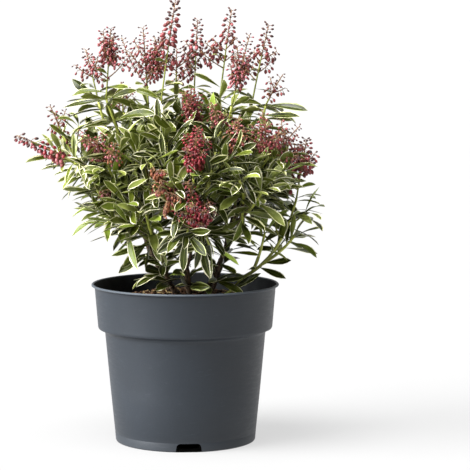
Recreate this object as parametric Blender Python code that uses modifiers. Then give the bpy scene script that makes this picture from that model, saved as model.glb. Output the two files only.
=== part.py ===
"""A variegated pieris shrub in bud, standing in a round nursery pot.

Metres, +Z up. The origin is the middle of the pot's flat underside, and the viewer
stands at -Y. Seven woody stems rise from the compost. Each carries boughs, and each
bough ends where a mass of foliage begins. A mass is one closed solid: a stem, the
leafy shoots that leave it, their leaves and their sprays of flower buds.
"""

import math
import random
from collections import namedtuple

import bmesh
import bpy
import numpy as np
from mathutils import Matrix, Quaternion, Vector

MM = 0.001
GAP = 0.3 * MM  # between solids that touch on the real plant

# Pot
POT_HEIGHT = 160 * MM
POT_STEPS = 40
RIM_RADIUS = 95 * MM
RIM_LIP = 2.2 * MM  # height of the rolled lip
COLLAR_TOP_RADIUS = 91.6 * MM
COLLAR_FOOT_RADIUS = 88.3 * MM
COLLAR_FOOT = 116 * MM
STEP_FOOT = 110.5 * MM
STEP_RADIUS = 81.3 * MM
BASE_RADIUS = 71 * MM
BASE_ROUND = 1.5 * MM
WALL = 2 * MM
FLOOR = 3 * MM
NOTCH_COUNT = 3
NOTCH_WIDTH = 29 * MM
NOTCH_TOP_WIDTH = 24 * MM
NOTCH_HEIGHT = 8 * MM
NOTCH_DEPTH = 16 * MM  # along the radius, half of it outside the wall
NOTCH_TURN = math.radians(4)  # the front one is a little right of the middle

# Compost
SOIL_EDGE = 143 * MM
SOIL_TOP = 147 * MM
SOIL_FLAT_RADIUS = 56 * MM
SOIL_UNDERCUT = 9 * MM  # the compost stays clear of the drain notches

# Wood
FOOT_RADIUS = 3.4 * MM
STEM_TIP_RADIUS = 2.3 * MM
BOUGH_RADIUS = 1.9 * MM
BOUGH_TIP_RADIUS = 1.6 * MM
SHOOT_RADIUS = 1.5 * MM
SHOOT_TIP_RADIUS = 1.0 * MM
RACHIS_RADIUS = 1.2 * MM
RACHIS_TIP_RADIUS = 0.9 * MM
BOUGH_SHARE = 0.5  # a bough goes this far from its fork to its mass's shoots
FORK_FIRST = 0.12  # share of a mass's stem where its second shoot leaves
FORK_STEP = 0.13
FORK_SEARCH = 0.1 * MM  # how finely a bough's foot is moved out to its stem's bark

# Leaves, fewer and broader than on the plant
LEAF_LENGTH = 42 * MM
LEAF_WIDTH = 16 * MM
LEAF_THICKNESS = 1.2 * MM  # where the blade folds up along its midrib
LEAVES_PER_SHOOT = 8
LEAF_TRIES = (1.0, 0.82, 0.64)  # a leaf with no room is made shorter and lies closer to its shoot
LEAFY_LENGTH = 58 * MM
LEAF_SPREAD_TOP = math.radians(38)
LEAF_SPREAD_FOOT = math.radians(98)
LEAF_DROOP = 0.22
ROOT_SINK = 0.1 * MM  # past the twig's axis, so that the root ends inside it

# Flower buds, larger than life and fewer. A side spray is one slim spindle.
BUD_LENGTH = 8.5 * MM
BUD_WIDTH = 6.5 * MM
BUD_SPACING = 15 * MM
BUD_DROOP = 0.5
SPRAY_WIDTH = 7.5 * MM

TURN = math.radians(137.5)  # from one leaf or bud to the next
SPACE_MARGIN = 1.3 * MM
LIMB_CLEARANCE = 2.0 * MM
POT_CLEARANCE = 2.0 * MM

Stem = namedtuple("Stem", "foot_x foot_y tip_x tip_y tip_z")
Shoot = namedtuple("Shoot", "x y z flower", defaults=(None,))
Flower = namedtuple("Flower", "dx dy dz bare sides spread")
Mass = namedtuple("Mass", "stem share shoots")

# Where each stem stands on the compost and where it ends, in millimetres.
STEMS = {
    "left": Stem(-9, -9, -22, -20, 184),
    "left_back": Stem(-15, 9, -42, 2, 225),
    "centre": Stem(5, -13, 0, -34, 205),
    "centre_back": Stem(3, 13, -4, 14, 255),
    "right": Stem(19, -4, 43, -22, 207),
    "right_back": Stem(26, 13, 50, 18, 235),
    "low_right": Stem(41, -14, 58, -15, 168),
}

# Each mass: the stem that bears it, the share of that stem's length where its bough
# leaves (1 is the stem's own tip), and its shoots. A shoot is the place of its last
# leaves in millimetres and, where it flowers, the way from there to the flower
# spray's tip, the bare share of that way, the side sprays and their spread in degrees.
MASSES = {
    "left_top": Mass("left_back", 1.0, (
        Shoot(-78, -14, 346, Flower(5, 0, 70, 0.30, 3, 24)),
        Shoot(-88, 20, 342, Flower(-13, 5, 53, 0.40, 2, 34)),
    )),
    "left_far": Mass("left_back", 0.80, (
        Shoot(-109, -40, 284, Flower(-56, 5, 27, 0.15, 1, 20)),
        Shoot(-121, -20, 310, Flower(-12, -5, 30, 0.25, 1, 40)),
    )),
    "left_mid": Mass("left_back", 0.55, (
        Shoot(-77, -35, 294, Flower(-25, -15, 23, 0.10, 2, 30)),
        Shoot(-74, -52, 280, Flower(8, -12, 25, 0.15, 1, 25)),
        Shoot(-45, -50, 298),
    )),
    "left_front": Mass("left", 1.0, (
        Shoot(-56, -65, 245),
        Shoot(-36, -76, 236),
        Shoot(-86, -45, 258, Flower(14, -15, -6, 0.20, 1, 30)),
        Shoot(-49, -48, 226),
        Shoot(-34, -38, 207),
    )),
    "top_left": Mass("centre_back", 0.85, (
        Shoot(-37, 12, 336, Flower(-5, -4, 81, 0.22, 3, 20)),
        Shoot(-64, 44, 330, Flower(-3, 5, 30, 0.30, 2, 25)),
    )),
    "top_mid": Mass("centre_back", 1.0, (
        Shoot(-10, 34, 344, Flower(1, 4, 52, 0.45, 3, 26)),
        Shoot(-25, -6, 333, Flower(16, -4, 110, 0.60, 2, 18)),
        Shoot(8, 40, 337, Flower(4, 8, 88, 0.50, 2, 20)),
    )),
    "centre_top": Mass("centre_back", 0.70, (
        Shoot(10, -36, 322, Flower(-3, -14, 35, 0.08, 3, 16)),
        Shoot(-25, -35, 316),
        Shoot(38, -45, 317, Flower(-11, -10, 26, 0.25, 1, 25)),
    )),
    "centre_mid": Mass("centre", 1.0, (
        Shoot(-17, -52, 305),
        Shoot(-32, -70, 286, Flower(27, -35, -45, 0.05, 2, 16)),
        Shoot(-9, -86, 263),
    )),
    "centre_front": Mass("centre", 0.60, (
        Shoot(10, -86, 272, Flower(5, -14, 49, 0.30, 3, 16)),
        Shoot(19, -92, 222, Flower(-14, -14, 48, 0.10, 3, 20)),
        Shoot(32, -76, 297),
        Shoot(4, -90, 219),
        Shoot(25, -70, 206),
    )),
    "right_top": Mass("right", 0.92, (
        Shoot(47, -16, 339, Flower(18, -4, 71, 0.15, 3, 14)),
        Shoot(35, 24, 346, Flower(12, 4, 89, 0.36, 3, 24)),
    )),
    "right_crest": Mass("right_back", 1.0, (
        Shoot(67, 44, 336, Flower(18, 6, 84, 0.36, 3, 26)),
        Shoot(81, 2, 339, Flower(17, -4, 31, 0.15, 2, 40)),
    )),
    "right_mid": Mass("right", 1.0, (
        Shoot(83, -50, 290, Flower(-6, -10, 46, 0.15, 3, 30)),
        Shoot(90, -42, 292, Flower(24, -5, 29, 0.10, 3, 35)),
        Shoot(51, -65, 290, Flower(3, -10, 40, 0.10, 2, 14)),
    )),
    "right_front": Mass("right", 0.78, (
        Shoot(55, -88, 270),
        Shoot(77, -70, 259),
        Shoot(92, -36, 272),
        Shoot(57, -60, 224),
    )),
    "far_right": Mass("low_right", 1.0, (
        Shoot(112, -14, 247, Flower(10, 0, 59, 0.30, 3, 36)),
        Shoot(80, -24, 213),
        Shoot(110, -12, 209),
    )),
}

# The side away from the viewer repeats masses of the near side, turned about the
# plane of the pot's axis and set a little lower.
BACK_MASSES = {
    "back_left": ("left_front", "left_back", 0.40),
    "back_mid": ("centre_front", "centre_back", 0.55),
    "back_right": ("right_front", "right_back", 0.60),
    "back_top": ("centre_top", "centre_back", 0.80),
    "back_left_high": ("left_mid", "left_back", 0.70),
    "back_right_high": ("right_mid", "right_back", 0.80),
}
BACK_DROP = 14
BACK_SHOOTS = 3  # at most this many of each


def clear_scene():
    for obj in list(bpy.data.objects):
        bpy.data.objects.remove(obj, do_unlink=True)
    for collection in list(bpy.data.collections):
        bpy.data.collections.remove(collection)


def new_collection(name):
    collection = bpy.data.collections.new(name)
    bpy.context.scene.collection.children.link(collection)
    return collection


def material(name, colour, roughness):
    """A Principled material. The colour is linear red, green and blue."""
    made = bpy.data.materials.new(name)
    made.use_nodes = True
    shader = made.node_tree.nodes["Principled BSDF"]
    shader.inputs["Base Color"].default_value = (*colour, 1)
    shader.inputs["Roughness"].default_value = roughness
    shader.inputs["Metallic"].default_value = 0
    made.diffuse_color = (*colour, 1)
    return made


# Turned parts

def wall_radius(height, inset=0.0):
    """The pot's outer radius at a height, or a surface inset from it, by straight runs."""
    heights = (0, STEP_FOOT, COLLAR_FOOT, POT_HEIGHT)
    radii = (BASE_RADIUS, STEP_RADIUS, COLLAR_FOOT_RADIUS, COLLAR_TOP_RADIUS)
    return float(np.interp(height, heights, radii)) - inset


def turned(name, profile, steps, look, collection):
    """A solid turned about +Z from (radius, height) points, both ends on the axis."""
    mesh = bpy.data.meshes.new(name)
    points = [(radius, 0, height) for radius, height in profile]
    edges = [(i, i + 1) for i in range(len(points) - 1)]
    mesh.from_pydata(points, edges, [])
    obj = bpy.data.objects.new(name, mesh)
    collection.objects.link(obj)
    screw = obj.modifiers.new("turn", "SCREW")
    screw.steps = steps
    screw.render_steps = steps
    screw.use_merge_vertices = True
    screw.merge_threshold = 0.00001
    screw.use_smooth_shade = True
    mesh.materials.append(look)
    return obj


def make_pot(look, collection, cutters):
    inner = [(0, FLOOR), (wall_radius(FLOOR, WALL), FLOOR)]
    for height in (STEP_FOOT, COLLAR_FOOT, POT_HEIGHT - RIM_LIP):
        inner.append((wall_radius(height, WALL), height))
    inner.append((wall_radius(POT_HEIGHT, 0.5 * WALL), POT_HEIGHT))
    rim = [
        (RIM_RADIUS - 0.8 * MM, POT_HEIGHT),
        (RIM_RADIUS, POT_HEIGHT - 0.8 * MM),
        (RIM_RADIUS - 0.3 * MM, POT_HEIGHT - RIM_LIP),
    ]
    outer = [(wall_radius(height), height) for height in (POT_HEIGHT - 1.2 * RIM_LIP, COLLAR_FOOT)]
    outer += [(STEP_RADIUS, STEP_FOOT), (wall_radius(BASE_ROUND), BASE_ROUND)]
    underside = [(BASE_RADIUS - BASE_ROUND, 0), (0, 0)]
    pot = turned("pot", inner + rim + outer + underside, POT_STEPS, look, collection)

    for index in range(NOTCH_COUNT):
        bearing = -math.pi / 2 + NOTCH_TURN + index * math.tau / NOTCH_COUNT
        cutter = notch_cutter(f"notch_cutter_{index + 1}", bearing, cutters)
        cut = pot.modifiers.new(cutter.name, "BOOLEAN")
        cut.operation = "DIFFERENCE"
        cut.object = cutter
    return pot


def notch_cutter(name, bearing, cutters):
    """A wedge, narrower above, that cuts one drain notch through wall and floor edge."""
    mesh = bpy.data.meshes.new(name)
    shape = bmesh.new()
    bmesh.ops.create_cube(shape, size=1)
    for vertex in shape.verts:
        width = NOTCH_TOP_WIDTH if vertex.co.z > 0 else NOTCH_WIDTH
        # The foot reaches as far below the underside as the notch is high.
        vertex.co = (vertex.co.x * NOTCH_DEPTH, vertex.co.y * width, vertex.co.z * 2 * NOTCH_HEIGHT)
    shape.to_mesh(mesh)
    shape.free()
    cutter = bpy.data.objects.new(name, mesh)
    cutter.location = (BASE_RADIUS * math.cos(bearing), BASE_RADIUS * math.sin(bearing), 0)
    cutter.rotation_euler.z = bearing
    cutter.hide_render = True
    cutter.display_type = "WIRE"
    cutters.objects.link(cutter)
    return cutter


def make_soil(look, collection):
    side = WALL + GAP
    foot = FLOOR + GAP
    profile = [(0, SOIL_TOP), (SOIL_FLAT_RADIUS, SOIL_TOP)]
    for height in (SOIL_EDGE, COLLAR_FOOT, STEP_FOOT, foot + SOIL_UNDERCUT):
        profile.append((wall_radius(height, side), height))
    profile += [(wall_radius(foot, side) - SOIL_UNDERCUT, foot), (0, foot)]
    return turned("compost", profile, POT_STEPS, look, collection)


# Paths of stems, boughs, shoots and flower stalks

def at(x, y, z):
    return Vector((x, y, z)) * MM


def bend(start, control, end, count):
    """Points along the curve that leaves start for control and arrives at end from it."""
    points = []
    for index in range(count):
        t = index / (count - 1)
        points.append(start * (1 - t) ** 2 + control * 2 * t * (1 - t) + end * t * t)
    return points


def rising(start, end, count):
    """A limb's path: outwards first, then more and more upright."""
    way = end - start
    control = start + Vector((way.x * 0.62, way.y * 0.62, way.z * 0.40))
    return bend(start, control, end, count)


def along(path, share):
    """The point at a share of the path's length, and the way it runs there."""
    lengths = [(b - a).length for a, b in zip(path, path[1:])]
    left = share * sum(lengths)
    for a, b, length in zip(path, path[1:], lengths):
        if left <= length or b is path[-1]:
            return a.lerp(b, left / length), (b - a).normalized()
        left -= length


def path_length(path):
    return sum((b - a).length for a, b in zip(path, path[1:]))


def stem_path(stem):
    """Upright where it leaves the compost, so that its flat foot lies on it."""
    foot = Vector((stem.foot_x * MM, stem.foot_y * MM, SOIL_TOP + GAP))
    tip = at(stem.tip_x, stem.tip_y, stem.tip_z)
    collar = foot + Vector((0, 0, FOOT_RADIUS))
    return [foot] + rising(collar, tip, 5)


def bough_path(stem_points, share, shoots):
    """From the side of its stem, just clear of the bark, half way to its shoots."""
    fork, _ = along(stem_points, share)
    middle = sum((at(s.x, s.y, s.z) for s in shoots), Vector()) / len(shoots)
    end = fork.lerp(middle, BOUGH_SHARE)
    bark = FOOT_RADIUS + share * (STEM_TIP_RADIUS - FOOT_RADIUS)
    stem = segments_of([stem_points])
    start = fork
    while True:
        path = rising(start, end, 5)
        way = (path[1] - path[0]).normalized()
        edge = way.orthogonal().normalized() * BOUGH_RADIUS
        ring = np.array([start + Quaternion(way, turn) @ edge for turn in np.linspace(0, math.tau, 13)])
        if distances(ring, stem).min() > bark + GAP:
            return path
        start = start + way * FORK_SEARCH


def flower_paths(tip, flower, dice):
    """The main stalk of a flower spray, and (start, end) of each of its side sprays."""
    reach = at(flower.dx, flower.dy, flower.dz)
    main = bend(tip, tip + reach * 0.5 + Vector((0, 0, 0.06 * reach.length)), tip + reach, 3)
    sprays = []
    across = reach.orthogonal().normalized()
    first = dice.uniform(0, math.tau)
    for index in range(flower.sides):
        start, way = along(main, flower.bare + 0.07 * index)
        lean = Quaternion(way, first + index * math.tau / flower.sides) @ across
        out = Quaternion(lean, math.radians(flower.spread)) @ way
        length = reach.length * (1 - flower.bare) * dice.uniform(0.5, 0.62)
        sprays.append((start, start + out * length))
    return main, sprays


# Pieces that foliage is fused from

def tube(name, path, start_radius, end_radius, profile, collection):
    """A tapering three-sided twig along a path, as a closed mesh."""
    curve = bpy.data.curves.new(name, "CURVE")
    curve.dimensions = "3D"
    curve.bevel_mode = "OBJECT"
    curve.bevel_object = profile
    curve.use_fill_caps = True
    spline = curve.splines.new("POLY")
    spline.points.add(len(path) - 1)
    for index, point in enumerate(path):
        share = index / (len(path) - 1)
        spline.points[index].co = (*point, 1)
        spline.points[index].radius = (start_radius + share * (end_radius - start_radius)) / MM
    source = bpy.data.objects.new(name, curve)
    collection.objects.link(source)
    graph = bpy.context.evaluated_depsgraph_get()
    mesh = bpy.data.meshes.new_from_object(source.evaluated_get(graph))
    bpy.data.objects.remove(source, do_unlink=True)
    bpy.data.curves.remove(curve)
    shape = bmesh.new()
    shape.from_mesh(mesh)
    bmesh.ops.remove_doubles(shape, verts=shape.verts, dist=0.00001)
    bmesh.ops.recalc_face_normals(shape, faces=shape.faces)
    shape.to_mesh(mesh)
    shape.free()
    obj = bpy.data.objects.new(name, mesh)
    collection.objects.link(obj)
    return obj


def twig_profile(collection):
    """The three-sided outline that twigs are drawn with, 1 mm in radius."""
    curve = bpy.data.curves.new("twig_outline", "CURVE")
    curve.dimensions = "2D"
    spline = curve.splines.new("POLY")
    spline.points.add(2)
    for index in range(3):
        turn = index * math.tau / 3
        spline.points[index].co = (MM * math.cos(turn), MM * math.sin(turn), 0, 1)
    spline.use_cyclic_u = True
    outline = bpy.data.objects.new("twig_outline", curve)
    outline.hide_render = True
    collection.objects.link(outline)
    return outline


def blade_matrix(base, way, side, length, width, thickness):
    """Places a unit blade or bud from its base along way."""
    side = (side - way * side.dot(way)).normalized()
    face = way.cross(side)
    columns = Matrix((side * width / 2, face * thickness / 2, way * length / 2)).transposed()
    return Matrix.Translation(base + way * length / 2) @ columns.to_4x4()


def add_blade(name, matrix, unit, look, collection):
    mesh = unit.copy()
    mesh.transform(matrix)
    mesh.materials.append(look)
    obj = bpy.data.objects.new(name, mesh)
    collection.objects.link(obj)


def hull(name, corners):
    """The closed solid that a few corners span, from its root at z = -1 to its tip at z = 1."""
    mesh = bpy.data.meshes.new(name)
    shape = bmesh.new()
    for corner in corners:
        shape.verts.new(corner)
    bmesh.ops.convex_hull(shape, input=shape.verts)
    bmesh.ops.recalc_face_normals(shape, faces=shape.faces)
    shape.to_mesh(mesh)
    shape.free()
    return mesh


def unit_leaf():
    """A thin kite folded along its midrib."""
    return hull("leaf_blade", ((0, -1, -1), (0, -1, 1), (-1, 1, 0), (1, 1, 0)))


def unit_bud():
    """A three-sided spindle."""
    waist = [(math.cos(turn), math.sin(turn), 0) for turn in (0, math.tau / 3, 2 * math.tau / 3)]
    return hull("bud_body", [(0, 0, -1), (0, 0, 1)] + waist)


# The space that each mass keeps to

def segments_of(paths):
    return np.array([(a, b) for path in paths for a, b in zip(path, path[1:])])


def distances(points, segments):
    """From each point to each segment."""
    start = segments[:, 0]
    way = segments[:, 1] - start
    offset = points[:, None] - start[None]
    share = np.clip((offset * way).sum(2) / (way * way).sum(1), 0, 1)
    return np.linalg.norm(offset - share[..., None] * way, axis=2)


def blade_points(matrix):
    """Points all over a blade but for its root, close enough to stand for its whole face."""
    points = []
    for step in range(-6, 11):
        along_share = step / 10
        half = 1 - abs(along_share)
        for across in (-half, 0, half):
            points.append(matrix @ Vector((across, 0, along_share)))
    return np.array(points)


def clear_of_pot(points):
    """Above the rim, or inside it and above the compost."""
    above_rim = points[:, 2] > POT_HEIGHT + POT_CLEARANCE
    radius = np.hypot(points[:, 0], points[:, 1])
    inside = radius < wall_radius(SOIL_TOP, WALL + POT_CLEARANCE)
    above_soil = points[:, 2] > SOIL_TOP + POT_CLEARANCE
    return bool((above_rim | (inside & above_soil)).all())


class Space:
    """The room of one mass: what lies nearer to its own stalks than to any other's."""

    def __init__(self, name, skeletons, limbs):
        others = [path for other, paths in skeletons.items() if other != name for path in paths]
        self.own = segments_of(skeletons[name])
        self.others = segments_of(others)
        self.limbs = segments_of([path for path, _ in limbs])
        self.limb_radii = np.concatenate([[radius] * (len(path) - 1) for path, radius in limbs])

    def holds(self, matrix):
        points = blade_points(matrix)
        if not clear_of_pot(points):
            return False
        near = distances(points, self.own).min(axis=1)
        far = distances(points, self.others).min(axis=1)
        bark = (distances(points, self.limbs) - self.limb_radii).min()
        return bool((near + SPACE_MARGIN < far).all() and bark > LIMB_CLEARANCE)


# Leaves and buds

def leaf_places(path, count, dice):
    """(root, shoot's way, bearing, angle from the shoot, length share) of each leaf, from the tip."""
    length = path_length(path)
    reach = min(LEAFY_LENGTH, 0.8 * length)
    first = dice.uniform(0, math.tau)
    for index in range(count):
        back = index / (count - 1)
        root, axis = along(path, 1 - reach * back ** 1.4 / length)
        out = Quaternion(axis, first + index * TURN) @ axis.orthogonal().normalized()
        spread = LEAF_SPREAD_TOP + back * (LEAF_SPREAD_FOOT - LEAF_SPREAD_TOP)
        share = (0.8 + 0.2 * back) * dice.uniform(0.9, 1.1)
        yield root, axis, out, spread, share


def leaf_matrix(root, axis, out, spread, share):
    way = axis * math.cos(spread) + out * math.sin(spread)
    way = (way + Vector((0, 0, -LEAF_DROOP))).normalized()
    size = (LEAF_LENGTH * share, LEAF_WIDTH * share, LEAF_THICKNESS)
    return blade_matrix(root - way * ROOT_SINK, way, axis.cross(out), *size)


def bud_places(path, bare):
    """(root, way, side) of each bud along a flower stalk."""
    length = path_length(path)
    count = max(2, round(length * (1 - bare) / BUD_SPACING))
    for index in range(count):
        root, axis = along(path, 1 - (1 - bare) * index / count)
        out = Quaternion(axis, index * TURN) @ axis.orthogonal().normalized()
        way = (out + Vector((0, 0, -BUD_DROOP))).normalized()
        yield root, way, axis


def mass_paths(name, start, way, shoots):
    """(leafy paths, [(stalk path, bare share)], side sprays) of one mass, from its bough's end."""
    dice = random.Random(name + " flowers")
    first = at(*shoots[0][:3])
    reach = (first - start).length
    stem = bend(start, start + way * 0.45 * reach, first, 5)
    leafy = [stem]
    for index, shoot in enumerate(shoots[1:]):
        fork, _ = along(stem, FORK_FIRST + FORK_STEP * index)
        leafy.append(rising(fork, at(*shoot[:3]), 4))
    stalks = []
    sprays = []
    for path, shoot in zip(leafy, shoots):
        if shoot.flower:
            main, sides = flower_paths(path[-1], shoot.flower, dice)
            stalks.append((main, shoot.flower.bare))
            sprays += sides
    return leafy, stalks, sprays


def make_mass(name, plan, space, looks, profile, units, collection):
    """One mass of foliage, its twigs, leaves and buds joined into one closed solid."""
    leafy, stalks, sprays = plan
    dice = random.Random(name)
    pieces = new_collection(name + "_pieces")
    body = tube(name, leafy[0], SHOOT_RADIUS, SHOOT_TIP_RADIUS, profile, collection)
    body.data.materials.append(looks["twig"])
    for path in leafy[1:]:
        twig = tube("twig", path, SHOOT_RADIUS, SHOOT_TIP_RADIUS, profile, pieces)
        twig.data.materials.append(looks["twig"])
    for path, _ in stalks:
        stalk = tube("stalk", path, RACHIS_RADIUS, RACHIS_TIP_RADIUS, profile, pieces)
        stalk.data.materials.append(looks["twig"])

    for path in leafy:
        for root, axis, out, spread, share in leaf_places(path, LEAVES_PER_SHOOT, dice):
            tries = (leaf_matrix(root, axis, out, spread * ease, share * ease) for ease in LEAF_TRIES)
            place = next(filter(space.holds, tries), None)
            if place:
                add_blade("leaf", place, units["leaf"], looks["leaf"], pieces)
    for path, bare in stalks:
        for root, way, side in bud_places(path, bare):
            place = blade_matrix(root - way * ROOT_SINK, way, side, BUD_LENGTH, BUD_WIDTH, BUD_WIDTH)
            if space.holds(place):
                add_blade("bud", place, units["bud"], looks["bud"], pieces)
    for start, end in sprays:
        way = (end - start).normalized()
        size = ((end - start).length + ROOT_SINK, SPRAY_WIDTH, SPRAY_WIDTH)
        place = blade_matrix(start - way * ROOT_SINK, way, way.orthogonal(), *size)
        if space.holds(place):
            add_blade("spray", place, units["bud"], looks["bud"], pieces)

    join = body.modifiers.new("join", "BOOLEAN")
    join.operation = "UNION"
    join.operand_type = "COLLECTION"
    join.collection = pieces
    join.material_mode = "TRANSFER"
    graph = bpy.context.evaluated_depsgraph_get()
    joined = bpy.data.meshes.new_from_object(body.evaluated_get(graph))
    body.modifiers.clear()
    body.data = joined
    for piece in list(pieces.objects):
        bpy.data.objects.remove(piece, do_unlink=True)
    bpy.data.collections.remove(pieces)
    keep_largest_shell(joined)
    return body


def keep_largest_shell(mesh):
    """Drops the small shells inside or beside the main one, so hollows end up filled."""
    shape = bmesh.new()
    shape.from_mesh(mesh)
    left = set(shape.verts)
    shells = []
    while left:
        edge_of_search = [left.pop()]
        shell = set(edge_of_search)
        while edge_of_search:
            for edge in edge_of_search.pop().link_edges:
                for vertex in edge.verts:
                    if vertex in left:
                        left.remove(vertex)
                        shell.add(vertex)
                        edge_of_search.append(vertex)
        shells.append(shell)
    shells.sort(key=len)
    for shell in shells[:-1]:
        bmesh.ops.delete(shape, geom=list(shell), context="VERTS")
    shape.to_mesh(mesh)
    shape.free()


def make_limb(name, path, start_radius, end_radius, look, collection):
    """A stem or bough: one round tapering tube with flat ends."""
    curve = bpy.data.curves.new(name, "CURVE")
    curve.dimensions = "3D"
    curve.bevel_depth = start_radius
    curve.bevel_resolution = 1
    curve.use_fill_caps = True
    spline = curve.splines.new("POLY")
    spline.points.add(len(path) - 1)
    for index, point in enumerate(path):
        share = index / (len(path) - 1)
        spline.points[index].co = (*point, 1)
        spline.points[index].radius = 1 + share * (end_radius / start_radius - 1)
    curve.materials.append(look)
    obj = bpy.data.objects.new(name, curve)
    collection.objects.link(obj)
    return obj


def all_masses():
    """Every mass by name: those that the viewer sees, then those behind them."""
    masses = dict(MASSES)
    for name, (pattern, stem, share) in BACK_MASSES.items():
        shoots = []
        for shoot in MASSES[pattern].shoots[:BACK_SHOOTS]:
            flower = shoot.flower and shoot.flower._replace(dy=-shoot.flower.dy)
            shoots.append(Shoot(shoot.x, -shoot.y, shoot.z - BACK_DROP, flower))
        masses[name] = Mass(stem, share, tuple(shoots))
    return masses


def make_plant(looks, collection):
    profile = twig_profile(collection)
    units = {"leaf": unit_leaf(), "bud": unit_bud()}
    limbs = []
    stem_paths = {}
    for name, stem in STEMS.items():
        path = stem_path(stem)
        stem_paths[name] = path
        limbs.append((path, FOOT_RADIUS))
        make_limb(f"stem_{name}", path, FOOT_RADIUS, STEM_TIP_RADIUS, looks["bark"], collection)

    masses = all_masses()
    skeletons = {}
    plans = {}
    for name, mass in masses.items():
        path = stem_paths[mass.stem]
        if mass.share < 1:
            path = bough_path(path, mass.share, mass.shoots)
            limbs.append((path, BOUGH_RADIUS))
            make_limb(f"bough_{name}", path, BOUGH_RADIUS, BOUGH_TIP_RADIUS, looks["bark"], collection)
        way = (path[-1] - path[-2]).normalized()
        plans[name] = mass_paths(name, path[-1] + way * GAP, way, mass.shoots)
        leafy, stalks, sprays = plans[name]
        skeletons[name] = leafy + [stalk for stalk, _ in stalks] + sprays

    for name, plan in plans.items():
        space = Space(name, skeletons, limbs)
        make_mass(f"foliage_{name}", plan, space, looks, profile, units, collection)
    bpy.data.objects.remove(profile, do_unlink=True)


def main():
    clear_scene()
    parts = new_collection("pieris_in_pot")
    cutters = new_collection("cutters")
    looks = {
        "pot": material("slate_plastic", (0.070, 0.083, 0.093), 0.45),
        "soil": material("dark_compost", (0.040, 0.022, 0.012), 0.95),
        "bark": material("grey_brown_bark", (0.105, 0.063, 0.040), 0.8),
        "twig": material("young_wood", (0.300, 0.290, 0.070), 0.6),
        "leaf": material("leaf_green", (0.120, 0.200, 0.050), 0.5),
        "bud": material("bud_coral", (0.480, 0.080, 0.100), 0.5),
    }
    make_pot(looks["pot"], parts, cutters)
    make_soil(looks["soil"], parts)
    make_plant(looks, parts)


main()
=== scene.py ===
# %% [markdown]
# # A variegated pieris in a nursery pot
#
# The real thing is a small evergreen shrub, about 44 cm tall with its pot. Green
# leaves with cream edges stand in whorls at the ends of the shoots, and sprays of
# coral-red flower buds rise out of the whorls. The plant stands in a slate-grey
# plastic pot, 19 cm across.

# %% Load the frame
import math
import random
from collections import namedtuple

import bmesh
import bpy
import numpy as np
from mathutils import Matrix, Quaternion, Vector


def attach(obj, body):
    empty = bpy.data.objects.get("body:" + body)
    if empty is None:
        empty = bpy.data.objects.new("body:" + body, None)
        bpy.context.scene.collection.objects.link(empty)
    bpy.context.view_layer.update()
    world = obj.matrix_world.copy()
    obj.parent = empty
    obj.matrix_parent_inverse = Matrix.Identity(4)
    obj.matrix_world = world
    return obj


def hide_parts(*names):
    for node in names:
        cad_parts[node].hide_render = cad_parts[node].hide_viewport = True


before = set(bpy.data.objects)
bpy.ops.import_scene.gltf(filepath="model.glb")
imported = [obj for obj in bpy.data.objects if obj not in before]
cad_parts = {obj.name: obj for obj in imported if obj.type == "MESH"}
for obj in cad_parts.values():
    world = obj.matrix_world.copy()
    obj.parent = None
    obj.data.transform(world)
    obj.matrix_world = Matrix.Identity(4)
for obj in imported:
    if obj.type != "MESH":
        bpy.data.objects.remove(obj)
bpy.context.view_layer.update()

MM = 0.001
print("frame nodes:", len(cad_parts))

# %% [markdown]
# ## Where everything grows
#
# The solids were made from a table: where each woody stem stands and ends, and where
# each leafy shoot has its last leaves and its flower spray. A leaf or a bud can be put
# in its place only if this script knows the same skeleton, so the table comes again
# here, in millimetres, and the same rules turn it into paths.

# %% The table of stems and shoots
Stem = namedtuple("Stem", "foot_x foot_y tip_x tip_y tip_z")
Shoot = namedtuple("Shoot", "x y z flower", defaults=(None,))
Flower = namedtuple("Flower", "dx dy dz bare")
Mass = namedtuple("Mass", "stem share shoots")

STEMS = {
    "left": Stem(-9, -9, -22, -20, 184),
    "left_back": Stem(-15, 9, -42, 2, 225),
    "centre": Stem(5, -13, 0, -34, 205),
    "centre_back": Stem(3, 13, -4, 14, 255),
    "right": Stem(19, -4, 43, -22, 207),
    "right_back": Stem(26, 13, 50, 18, 235),
    "low_right": Stem(41, -14, 58, -15, 168),
}

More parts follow.
